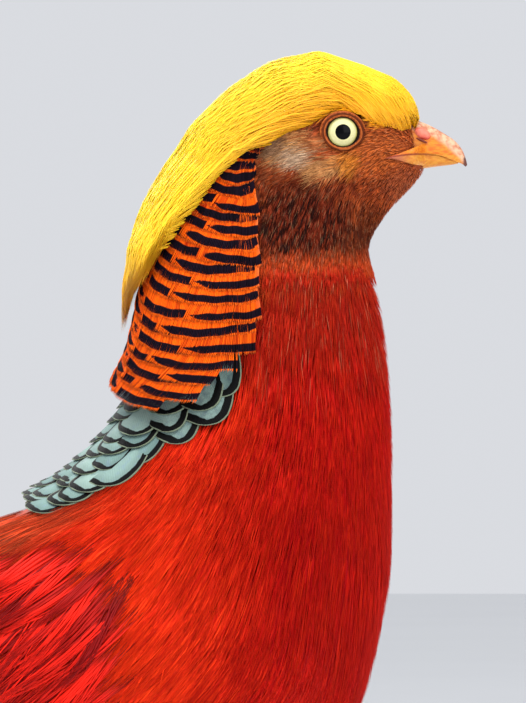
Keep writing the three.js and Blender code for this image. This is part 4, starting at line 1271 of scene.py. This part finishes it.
# Thickest at the root and along the shaft
def vaneBody(t, c, thick, shaft, shaftWide):
    return thick * (1 - 0.5 * t) + shaft * np.exp(-(c / shaftWide) ** 2) * (1 - t)


def vaneOnBody(vane, t, c):
    place = between(vane["from"], vane["to"], t) + 0 * c
    shape = vane["shape"](t)
    turn = vane["field"](place) + c * shape * vane["half"] / vane["speedAround"]
    lift = vane["lift"](t) - 0.9 * vane.get("camber", 0.6) * (c * shape) ** 2
    lift = lift + vane["tilt"] * c * shape
    fromTip = (1 - t) * vane["length"] + 0 * c
    side = (1 - np.abs(c)) * shape * vane["half"]
    marks = {"fromTip": fromTip, "fromEdge": np.minimum(side, fromTip * 0.9),
             "across": c * shape * vane["half"]}
    return (offBody(place, turn, lift + vaneBody(t, c, 0.3, 0.25, 0.12)),
            offBody(place, turn, lift - 0.1), marks)


# Fine barbs that slant from the shaft towards the tip
barbs = {"lean": 0.6, "strength": 0.35, "depth": 0.0002}


def barbBump(finish, spacing=0.5):
    slant = finish.mark("fromTip") * barbs["lean"] + finish.mark("across").size() * (1 - barbs["lean"])
    waves = (slant * (2 * math.pi / spacing)).wave()
    grain = finish.noise(finish.place(), 700)
    finish.bump(waves * 0.5 + grain * 0.6, barbs["strength"], barbs["depth"])


# Mantle: blue-green scale feathers with a dark band and a fine pale rim
mantle = {
    "tiers": 13, "tips": (7.95, 9.5), "length": (24, 17), "half": (10.2, 7.0), "lift": (0.8, 3.4),
    "bow": 0.45, "middle": 0.6, "grid": (16, 11, 1.5), "seed": 33,
}


def mantleFinish():
    finish = Finish("mantle_vanes", Roughness=0.6, Specular_IOR_Level=0.06)
    edge = finish.mark("fromEdge")
    grain = finish.noise(finish.place(), 380) - 0.5
    x = finish.axes(finish.place())[0]
    ahead = finish.ramp(x, 26, 56)
    teal = finish.blend(finish.mark("tone"), (98, 126, 122), (132, 154, 146))
    teal = finish.blend(finish.ramp(grain, 0.0, 0.3) * 0.5, teal, (108, 128, 144))
    paler = 0.82 + 0.26 * finish.ramp(edge + grain, 2.4, 6.0) + 0.09 * finish.ramp(x, 30, -6)
    barbBump(finish)
    return finish.painted(finish.over(
        finish.tint(teal, paler),
        (ahead * finish.ramp(grain, -0.1, 0.2) * 0.5, (44, 58, 60)),
        (finish.ramp(edge + grain * 0.9 - 0.6 * ahead, 2.4, 2.1), (7, 8, 8)),
        (finish.ramp(edge + grain * 0.4, 0.5, 0.35) * 0.8, (122, 134, 112)),
    ))


def makeMantle():
    dice = np.random.default_rng(mantle["seed"])
    vanes = []
    for k in range(mantle["tiers"]):
        down = k / (mantle["tiers"] - 1)
        tip = between(*mantle["tips"], down)
        speed = np.linalg.norm(slopes(tip - 0.2, 0.5)[1])
        reach = float(mantleReach(tip - 0.1))
        half = between(*mantle["half"], down)
        length = between(*mantle["length"], down)
        count = max(3, round(2 * reach * speed / (half * 1.35)))
        for i in range(count):
            share = (i + (0.5 if k % 2 else 0.2)) / (count - 0.3) * 2 - 1
            middle = share * (reach - 0.3 * half / speed) + dice.normal(0, 0.02)
            to = tip - mantle["bow"] * (abs(middle) - mantle["middle"]) ** 2 + dice.normal(0, 0.025)
            speedDown = np.linalg.norm(slopes(to - 0.25, middle)[0])
            high = dice.uniform(-0.3, 0.3)
            twist = dice.normal(0, 0.12)
            sunk = 1 - 0.85 * eased(0.7, 1, abs(share)) * eased(0.8, 0.4, down)
            vanes.append({
                "from": to - length / speedDown, "to": to, "length": length,
                "half": half * dice.uniform(0.86, 1.1), "speedAround": speed, "shape": roundedVane,
                "field": lambda place, middle=middle, to=to, twist=twist: middle + twist * (place - to),
                "lift": lambda t, high=high, sunk=sunk: (between(*mantle["lift"], t) + high * t) * sunk,
                "tone": dice.random(), "tilt": 0.25,
            })
    piece = layVanes("mantle_feathers", vanes, vaneOnBody, mantle["grid"])
    give(piece, mantleFinish(), "mantle_plumage", "mantle")
    print("mantle", len(vanes), len(piece.data.polygons))


# Rump: loose golden plumes
rump = {"count": 850, "perLock": 7, "spread": 2.0, "stations": 4, "sway": 1.6, "draw": 0.5,
        "length": [(9.6, 30), (11.5, 34), (13, 44)], "width": 0.85, "lift": (-1.5, 2.4), "layer": 2.6,
        "vary": (0.45, 1.25), "settle": [(12.6, 0), (14.6, 3.4)], "ridge": 0.18}


def rumpFinish():
    finish = Finish("rump_silk", Roughness=0.42, Specular_IOR_Level=0.35)
    x = finish.axes(finish.place("root"))[0]
    gold = finish.blend(finish.mark("tone"), (250, 184, 18), (255, 226, 56))
    gold = finish.blend(finish.ramp(x, -96, -118) * 0.6, gold, (252, 150, 30))
    return finish.painted(strandPaint(finish, gold, 0.9, 1.1, 0.01, 0.9))


def makeRump():
    def ground(place, turn, point):
        return (np.abs(turn) < rumpReach(place) + 0.06) & (point[..., 0] < -34)

    region = ((9.6, 13.5), (-1.3, 1.3))
    roots = scatter(rump["count"], *region, ground, 41)
    piece = laidStrands("rump_plumes", roots, rump, region, 42)
    give(piece, rumpFinish(), "rump_plumage", "rump")
    print("rump", len(piece.data.polygons))


# Wings: folded along the flanks, in rows from the shoulder back. share runs from top to lower edge.
wing = {
    "lift": 1.8, "perPlace": 44, "aroundPerTurn": 52, "grid": (22, 9, 1.5), "seed": 55,
    "rows": [
        {"kind": 0, "from": 10.6, "first": 0.12, "last": 1.0, "tips": (12.8, 11.85), "count": 15,
         "high": (0.3, 1.4), "half": 6.5},
        {"kind": 3, "from": 10.6, "first": 0.04, "last": 0.3, "tips": (12.5, 12.0), "count": 4,
         "high": (0.5, 3.0), "half": 9.0},
        {"kind": 1, "from": 10.8, "first": 0.1, "last": 0.95, "tips": (11.8, 11.62), "count": 13,
         "high": (0.4, 3.0), "half": 5.6},
        {"kind": 1, "from": 10.7, "first": 0.08, "last": 0.92, "tips": (11.5, 11.35), "count": 13,
         "high": (0.2, 3.8), "half": 5.4},
        {"kind": 1, "from": 10.6, "first": 0.06, "last": 0.9, "tips": (11.2, 11.1), "count": 13,
         "high": (0.0, 4.4), "half": 5.2},
        {"kind": 2, "from": 10.1, "first": -0.08, "last": 0.26, "tips": (11.6, 11.3), "count": 6,
         "high": (0.4, 4.6), "half": 6.4},
        {"kind": 2, "from": 9.8, "first": -0.14, "last": 0.28, "tips": (11.1, 10.9), "count": 7,
         "high": (0.2, 5.0), "half": 6.2},
    ],
}


def wingFinish():
    finish = Finish("wing_vanes", Roughness=0.55, Specular_IOR_Level=0.1)
    kind, tone, fromTip = (finish.mark(name) for name in ("kind", "tone", "fromTip"))
    offShaft = finish.mark("across").size()
    grain = finish.noise(finish.place(), 260, 3) - 0.5
    wavy = ((fromTip + offShaft * 0.9 + grain * 5) * 1.25).wave()
    flight = finish.blend(finish.ramp(wavy, -0.2, 0.5), (58, 34, 24), (134, 84, 52))
    covert = finish.blend(finish.ramp(wavy + grain * 2, -0.3, 0.6), (70, 30, 20), (140, 66, 38))
    blue = finish.blend(finish.ramp(grain, -0.2, 0.3), (14, 24, 62), (26, 48, 104))
    scapular = finish.over(
        finish.blend(finish.ramp(tone + grain, 0.1, 0.9), (104, 16, 10), (160, 28, 14)),
        (finish.ramp(finish.axes(finish.place())[0], -40, -12) * 0.7, (206, 52, 26)),
        (finish.ramp(fromTip, 2.4, 0.6) * 0.6, (196, 74, 30)),
    )
    shaft = finish.ramp(offShaft, 0.45, 0.2) * finish.ramp(kind, 1.6, 1.4)
    colour = finish.over(
        flight,
        (finish.ramp(kind, 0.4, 0.6), covert),
        (finish.ramp(kind, 1.4, 1.6), scapular),
        (finish.ramp(kind, 2.4, 2.6), blue),
        (shaft * 0.5, (168, 120, 84)),
    )
    barbBump(finish)
    return finish.painted(finish.tint(colour, 0.8 + 0.4 * tone))


def makeWings():
    finish = wingFinish()
    for name, side in sides:
        dice = np.random.default_rng(wing["seed"])
        vanes = []
        for row in wing["rows"]:
            for i in range(row["count"]):
                along = i / (row["count"] - 1)
                share = between(row["first"], row["last"], along)
                to = between(*row["tips"], along) + dice.normal(0, 0.02)
                length = (to - row["from"]) * wing["perPlace"]
                high = (row["high"][0] + 0.25 * (i % 2), row["high"][1] + dice.uniform(-0.15, 0.15))
                vanes.append({
                    "from": row["from"], "to": to, "length": length, "half": row["half"],
                    "speedAround": wing["aroundPerTurn"], "shape": roundedVane, "kind": row["kind"],
                    "field": lambda place, share=share, side=side: (
                        side * between(wingTop(place), wingLow(place), share)),
                    "lift": lambda t, high=high: wing["lift"] + between(*high, t),
                    "tone": dice.random(), "tilt": -0.5 * side, "camber": 0.5,
                })
        piece = layVanes("wing_" + name + "_feathers", vanes, vaneOnBody, wing["grid"])
        give(piece, finish, "wing_plumage", "wing_" + name)
        print("wing", name, len(vanes), len(piece.data.polygons))


# Tail: nested vanes under one roof shape
tail = {
    "length": 690, "droop": math.radians(9), "root": (-112, 168), "bow": 8, "pitch": 0.36,
    "lengths": (690, 640, 560, 480, 410, 350, 300, 250, 210),
    "halves": (18, 15, 14, 13.5, 13, 12.5, 12.5, 12, 12),
    "from": -16, "thick": 0.45, "grid": (60, 11, 1.25), "seed": 61,
}


def tailAxis(along):
    x = tail["root"][0] - along * math.cos(tail["droop"])
    bow = tail["bow"] * np.sin(np.pi * np.clip(along / tail["length"], 0, 1))
    return x, tail["root"][1] - along * math.sin(tail["droop"]) + bow


def tailBlade(t):
    return np.where(t < 0.3, 0.8 + 0.67 * t, 1 - 0.97 * (np.clip(t - 0.3, 0, 1) / 0.7) ** 1.8)


def vaneOnTail(vane, t, c):
    start = tail["from"]
    along = between(vane["from"], vane["length"], t) + 0 * c
    wide = vane["half"] * vane["shape"](t) * between(0.4, 1, eased(start, 90, along))
    x, z = tailAxis(along)
    across = vane["centre"] + vane["fan"] * along * np.sign(vane["centre"]) + c * wide
    roof = tail["pitch"] * vane.get("pitch", 1) * np.sqrt(across ** 2 + 4)
    high = z - roof + vane["level"] * between(0.5, 1, eased(start, 30, along)) - 0.007 * (c * wide) ** 2
    body = vaneBody(t, c, vane["thick"], 0.5, 0.1)
    return (np.stack([x, across, high + body], -1), np.stack([x, across, high - 0.15], -1),
            {"fromTip": vane["length"] - along, "fromRoot": along, "across": c * wide})


def tailFinish():
    finish = Finish("tail_vanes", Roughness=0.55, Specular_IOR_Level=0.1)
    offShaft = finish.mark("across").size()
    where = finish.place()
    grain = finish.noise(where, 160, 3) - 0.5
    spots = finish.node("ShaderNodeTexVoronoi", {"feature": "F1"},
                        {"Vector": where, "Scale": 150}, "Distance")
    slant = ((finish.mark("fromRoot") + offShaft * 1.6 + grain * 9) * 0.62).wave()
    barred = finish.blend(finish.ramp(slant, -0.1, 0.35), (44, 28, 20), (178, 116, 68))
    colour = finish.over(
        finish.blend(finish.ramp(spots + grain * 0.25, 0.34, 0.26), (40, 26, 20), (186, 128, 80)),
        (finish.ramp(finish.mark("kind"), 0.4, 0.6), barred),
        (finish.ramp(offShaft, 0.7, 0.35), (120, 82, 56)),
    )
    barbBump(finish, 0.9)
    return finish.painted(finish.tint(colour, 0.85 + 0.3 * finish.mark("tone")))


def makeTail():
    dice = np.random.default_rng(tail["seed"])
    vanes = []
    for k, (length, half) in enumerate(zip(tail["lengths"], tail["halves"])):
        for _, side in sides:
            centre = side * (1.5 if k == 0 else 4.5 + 0.9 * k)
            level = (0.0 if side > 0 else -0.9) if k == 0 else -1.6 - 1.0 * k
            vanes.append({
                "length": length, "half": half * (1 if k == 0 else 0.86), "centre": centre,
                "fan": 0.0 if k == 0 else 0.006 + 0.004 * k, "level": level,
                "from": tail["from"], "thick": tail["thick"], "shape": tailBlade,
                "kind": 0 if k == 0 else 1, "tone": dice.random(),
            })
    piece = layVanes("tail_feathers", vanes, vaneOnTail, tail["grid"])
    give(piece, tailFinish(), "tail_plumage", "tail")
    print("tail", len(vanes), len(piece.data.polygons))


# Tail coverts: narrow scarlet plumes over the base of the tail
coverts = {
    "pairs": 9, "lengths": (255, 120), "halves": (4.6, 3.4), "from": -12, "level": 4.6,
    "under": {"rows": ((116, 5), (88, 7), (62, 9)), "half": 6.5, "level": -13.6, "spread": 13},
    "thick": 0.35, "grid": (30, 9, 1.25), "seed": 62,
}


def covertFinish():
    finish = Finish("covert_vanes", Roughness=0.5, Specular_IOR_Level=0.1)
    along = finish.mark("fromRoot")
    above = finish.ramp(finish.mark("kind"), 0.6, 0.4)
    grain = finish.noise(finish.place(), 240, 3) - 0.5
    bars = finish.ramp(((along + grain * 6) * 0.9).wave(), -0.2, 0.4)
    scarlet = finish.blend(finish.mark("tone"), (176, 22, 8), (216, 50, 14))
    barbBump(finish, 0.6)
    return finish.painted(finish.over(
        finish.blend(bars, (70, 40, 26), (170, 104, 52)),
        (finish.ramp(along + grain * 20, 30, 60).most(1 - above), scarlet),
        (finish.ramp(finish.mark("across").size(), 0.4, 0.15) * above * 0.6, (236, 140, 60)),
    ))


def makeTailCoverts():
    dice = np.random.default_rng(coverts["seed"])
    vanes = []
    for k in range(coverts["pairs"]):
        down = k / (coverts["pairs"] - 1)
        for _, side in sides:
            length = between(*coverts["lengths"], down) * dice.uniform(0.93, 1.05)
            vanes.append({
                "length": length, "half": between(*coverts["halves"], down),
                "centre": side * (2.5 + 17.5 * down), "fan": 0.01 + 0.05 * down,
                "level": coverts["level"] - 1.4 * (k % 2) - 0.8 * down, "from": coverts["from"],
                "thick": coverts["thick"], "shape": pointedVane, "kind": 0, "tone": dice.random(),
            })
    below = coverts["under"]
    for k, (reach, count) in enumerate(below["rows"]):
        for i in range(count):
            share = (i + 0.5) / count * 2 - 1
            vanes.append({
                "length": reach * dice.uniform(0.9, 1.08), "half": below["half"],
                "centre": share * below["spread"], "fan": 0.03 * abs(share),
                "level": below["level"] - 1.3 * k, "from": tail["from"], "thick": coverts["thick"],
                "shape": roundedVane, "kind": 1, "pitch": -0.1, "tone": dice.random(),
            })
    piece = layVanes("tail_covert_plumes", vanes, vaneOnTail, coverts["grid"])
    give(piece, covertFinish(), "covert_plumage", "tail_coverts")
    print("tail coverts", len(vanes), len(piece.data.polygons))


# Legs: scaled shanks and toes drawn out ring by ring, with horny claws
leg = {
    "foot": (6, 26), "stagger": 8, "hock": (-21, 26, 88), "knee": (30, 27, 130),
    "shank": {"sides": 18, "scutes": 20, "plate": 0.45, "squash": 0.85, "end": 6.0},
    "spur": {"at": 0.66, "length": 8, "radius": (2.1, 0.35)},
    "toeHeight": 3.1, "toePlate": 0.35, "toeSides": 14,
    "toes": [
        {"angle": 0, "length": 44, "thick": 3.3, "scutes": 13},
        {"angle": 34, "length": 31, "thick": 3.1, "scutes": 9},
        {"angle": -36, "length": 33, "thick": 3.0, "scutes": 10},
        {"angle": 172, "length": 15, "thick": 2.6, "scutes": 5},
    ],
    "claw": {"length": 11, "radius": (1.9, 0.35), "drop": 2.3, "sides": 12},
    "pad": {"size": (6.2, 5.6, 4.4), "height": 4.9},
}
thigh = {
    "count": 3100, "length": 15, "bone": 66, "width": 1.0, "above": 0.24, "sunk": 2.2, "flat": 0.82,
    "ridge": 0.35, "seed": 81,
    "radius": [(-0.24, 15.5), (0, 21.5), (0.3, 20.5), (0.55, 16.5), (0.8, 10), (1, 6.2), (1.25, 4.6)],
}


def limbRings(path, radius, front, sidesCount, scutes=0, raised=0.0, squash=1.0):
    along = unit(np.gradient(path, axis=0))
    right = unit(np.cross(np.broadcast_to(front, along.shape), along))
    ahead = np.cross(along, right)
    rings = []
    steps = len(path)
    for k in range(steps):
        angle = 2 * np.pi * np.arange(sidesCount) / sidesCount
        phase = (k / (steps - 1) * scutes) % 1 if scutes else 0
        plate = raised * (1 - phase) ** 0.6 * np.clip(np.cos(angle) + 0.35, 0, 1)
        reach = radius[k] + plate
        ring = (path[k] + np.outer(np.cos(angle) * reach, ahead[k])
                + np.outer(np.sin(angle) * reach * squash, right[k]))
        ring[:, 2] = np.maximum(ring[:, 2], drawing["sole"])
        rings.append(toFrame(ring))
    return rings


def legFinish():
    finish = Finish("leg_scales", Roughness=0.45, Specular_IOR_Level=0.4)
    where = finish.place()
    cells = finish.node("ShaderNodeTexVoronoi", {"feature": "DISTANCE_TO_EDGE"},
                        {"Vector": where, "Scale": 620}, "Distance")
    grain = finish.noise(where, 300, 3)
    horn = finish.blend(finish.ramp(grain, 0.35, 0.7), (176, 142, 78), (214, 184, 116))
    finish.bump(finish.ramp(cells, 0.0, 0.14), 0.5, 0.0002)
    return finish.painted(finish.blend(finish.ramp(cells, 0.08, 0.0) * 0.5, horn, (112, 84, 48)))


def clawFinish():
    finish = Finish("claw", Roughness=0.35, Coat_Weight=0.2)
    grain = finish.noise(finish.place(), 400)
    finish.bump(grain, 0.2)
    return finish.painted(finish.blend(grain, (74, 56, 40), (120, 96, 66)))


def joinPieces(name, pieces):
    deselectAll()
    for piece in pieces:
        piece.select_set(True)
    bpy.context.view_layer.objects.active = pieces[0]
    bpy.ops.object.join()
    pieces[0].name = name
    bpy.ops.object.shade_smooth()
    return pieces[0]


def makeShank(name, foot, ankle, scales, horn):
    shank, spur = leg["shank"], leg["spur"]
    top = ankle + (foot - ankle) * -0.03
    t = np.linspace(0, 1, shank["scutes"] * 4 + 1)
    path = between(top, foot + [0, 0, shank["end"]], t[:, None])
    radius = between(4.6, 3.4, eased(0, 0.4, t)) + 1.0 * eased(0.85, 1, t)
    rings = limbRings(path, radius, (1, 0, 0), shank["sides"], shank["scutes"], shank["plate"],
                      shank["squash"])
    give(drawnOut("shank_scaled_" + name, rings), scales, "leg_scale", "shank_" + name)
    t = np.linspace(0, 1, 8)
    root = between(top, foot + [0, 0, 7.0], spur["at"])
    path = root + np.stack([-1 - spur["length"] * t, 0 * t, 1.6 * t * t], -1)
    rings = limbRings(path, between(*spur["radius"], t), (0, 0, 1), leg["claw"]["sides"])
    give(drawnOut("spur_" + name, rings), horn, "leg_scale")


def makeFoot(name, side, foot, scales, horn):
    claw, high = leg["claw"], leg["toeHeight"]
    toes, claws = [], []
    for toe in leg["toes"]:
        heading = math.radians(-side * toe["angle"])
        ahead = np.array([math.cos(heading), math.sin(heading), 0.0])
        t = np.linspace(0, 1, toe["scutes"] * 4 + 1)
        path = foot + np.outer(1 + t * toe["length"], ahead)
        path[:, 2] = between(high + 1.2, high - 0.3, t)
        knuckles = 0.12 * np.sin(t * np.pi * 6) ** 2
        radius = toe["thick"] * between(1.02, 0.7, t) * (1 - knuckles * 0.6)
        rings = limbRings(path, radius, (0, 0, 1), leg["toeSides"], toe["scutes"], leg["toePlate"])
        toes.append(drawnOut("toe", rings))
        t = np.linspace(0, 1, 9)
        path = foot + np.outer(toe["length"] - 1 + t * claw["length"], ahead)
        path[:, 2] = high + 0.35 - claw["drop"] * t * t
        rings = limbRings(path, between(*claw["radius"], t ** 1.2), (0, 0, 1), claw["sides"])
        claws.append(drawnOut("claw", rings))
    deselectAll()
    bpy.ops.mesh.primitive_uv_sphere_add(segments=24, ring_count=16, radius=millimetre,
                                         location=toFrame(foot + [0, 0, leg["pad"]["height"]]))
    toes.append(settled("pad", leg["pad"]["size"]))
    give(joinPieces("toes_" + name, toes), scales, "leg_scale", "foot_" + name)
    give(joinPieces("claws_" + name, claws), horn, "leg_scale")


def makeThighFeathers(name, knee, ankle, material):
    dice = np.random.default_rng(thigh["seed"])
    count, above = thigh["count"], thigh["above"]
    along = dice.uniform(0, 1, count) ** 0.8 * (1 + above) - above
    angle = dice.uniform(-np.pi, np.pi, count)
    t = np.linspace(0, 1, 3)
    reach = thigh["length"] / thigh["bone"]
    alongT = along[:, None] + reach * t * dice.uniform(0.7, 1.15, count)[:, None]
    axis = unit(ankle - knee)
    right = unit(np.cross((0, 1, 0), axis))
    up = np.cross(axis, right)
    radius = through(thigh["radius"], alongT) - thigh["sunk"] * (1 - t)[None]
    turn = angle[:, None] + dice.normal(0, 0.08, count)[:, None] * t
    out = np.cos(turn)[..., None] * right + thigh["flat"] * np.sin(turn)[..., None] * up
    centre = between(knee, ankle, alongT[..., None]) + out * radius[..., None]
    width = thigh["width"] * np.minimum(0.6 + 1.6 * t, 1) * (1 - 0.75 * t ** 2.5)
    width = np.tile(width, (count, 1)) * dice.uniform(0.7, 1.2, count)[:, None]
    unwrap = np.stack([np.clip((along + above) / (1 + above), 0.003, 0.997), angle / 6.4 + 0.5], -1)
    marks = {"tone": dice.random(count), "root": toFrame(centre[:, 0]), "spark": 0 * angle}
    piece = strandMesh("thigh_feathers_" + name, centre, unit(out), width, width * thigh["ridge"],
                       unwrap, marks)
    give(piece, material, "body_skin")


def makeLegs():
    scales, horn, coat = legFinish(), clawFinish(), coatFinish("thigh_feathers")
    for name, side in sides:
        step = -side * leg["stagger"]
        footX, footY = leg["foot"]
        foot = np.array([footX + step, side * footY, 0.0])
        # The stagger of the feet lessens up the leg.
        ankle, knee = (np.array([x + step * share, side * y, z])
                       for (x, y, z), share in ((leg["hock"], 0.6), (leg["knee"], 0.3)))
        makeShank(name, foot, ankle, scales, horn)
        makeFoot(name, side, foot, scales, horn)
        makeThighFeathers(name, knee, ankle, coat)
        print("leg", name)


# Stage: a pale floor, soft light and the photograph's camera
studio = {
    "floor": 12.0, "paints": ((0.78, 0.79, 0.8, 1), (0.82, 0.83, 0.84, 1)),
    "world": (0.93, 0.95, 1.0), "worldStrength": 0.75,
    "lights": [
        {"name": "skyLight", "at": (-0.4, -0.9, 2.1), "size": 1.8, "power": 62},
        {"name": "frontLight", "at": (1.1, -1.6, 0.9), "size": 1.4, "power": 22},
        {"name": "backLight", "at": (-0.6, 1.5, 1.3), "size": 1.2, "power": 20},
    ],
    "lightsBase": (0, 0, 0.27),  # how far under the aim the lights' heights are counted from, in metres
    "aim": (67, 0, 272.2), "distance": 2500, "frameHigh": 232.0, "sensor": 36, "clip": (0.1, 50),
}


def makeStage():
    deselectAll()
    bpy.ops.mesh.primitive_plane_add(size=studio["floor"], location=(0, 0, 0))
    floor = bpy.context.object
    floor.name = "floor"
    finish = Finish("floor_paint", Roughness=0.8)
    grey = finish.blend(finish.noise(finish.place(), 4), *studio["paints"])
    floor.data.materials.append(finish.painted(grey))
    world = bpy.context.scene.world or bpy.data.worlds.new("studio")
    bpy.context.scene.world = world
    world.use_nodes = True
    background = world.node_tree.nodes["Background"]
    background.inputs[0].default_value = (*studio["world"], 1)
    background.inputs[1].default_value = studio["worldStrength"]
    aim = Vector(toFrame(np.array(studio["aim"], float)))
    for light in studio["lights"]:
        at = aim + Vector(light["at"]) - Vector(studio["lightsBase"])
        bpy.ops.object.light_add(type="AREA", location=at)
        lamp = bpy.context.object
        lamp.name = light["name"]
        lamp.data.size = light["size"]
        lamp.data.energy = light["power"]
        lamp.rotation_euler = (aim - at).to_track_quat("-Z", "Y").to_euler()
    bpy.ops.object.camera_add(location=aim - Vector((0, studio["distance"] * millimetre, 0)),
                              rotation=(math.radians(90), 0, 0))
    camera = bpy.context.object
    camera.name = "photoCamera"
    camera.data.sensor_width = studio["sensor"]
    camera.data.lens = studio["sensor"] * studio["distance"] / studio["frameHigh"]
    camera.data.clip_start, camera.data.clip_end = studio["clip"]
    bpy.context.scene.camera = camera
    bpy.context.scene.view_settings.view_transform = "Standard"
    print("stage")


makeStage()
makeSkin()
makeEyes()
makeBill()
makeBodyFeathers()
makeCrest()
makeCape()
makeMantle()
makeRump()
makeWings()
makeTail()
makeTailCoverts()
makeLegs()
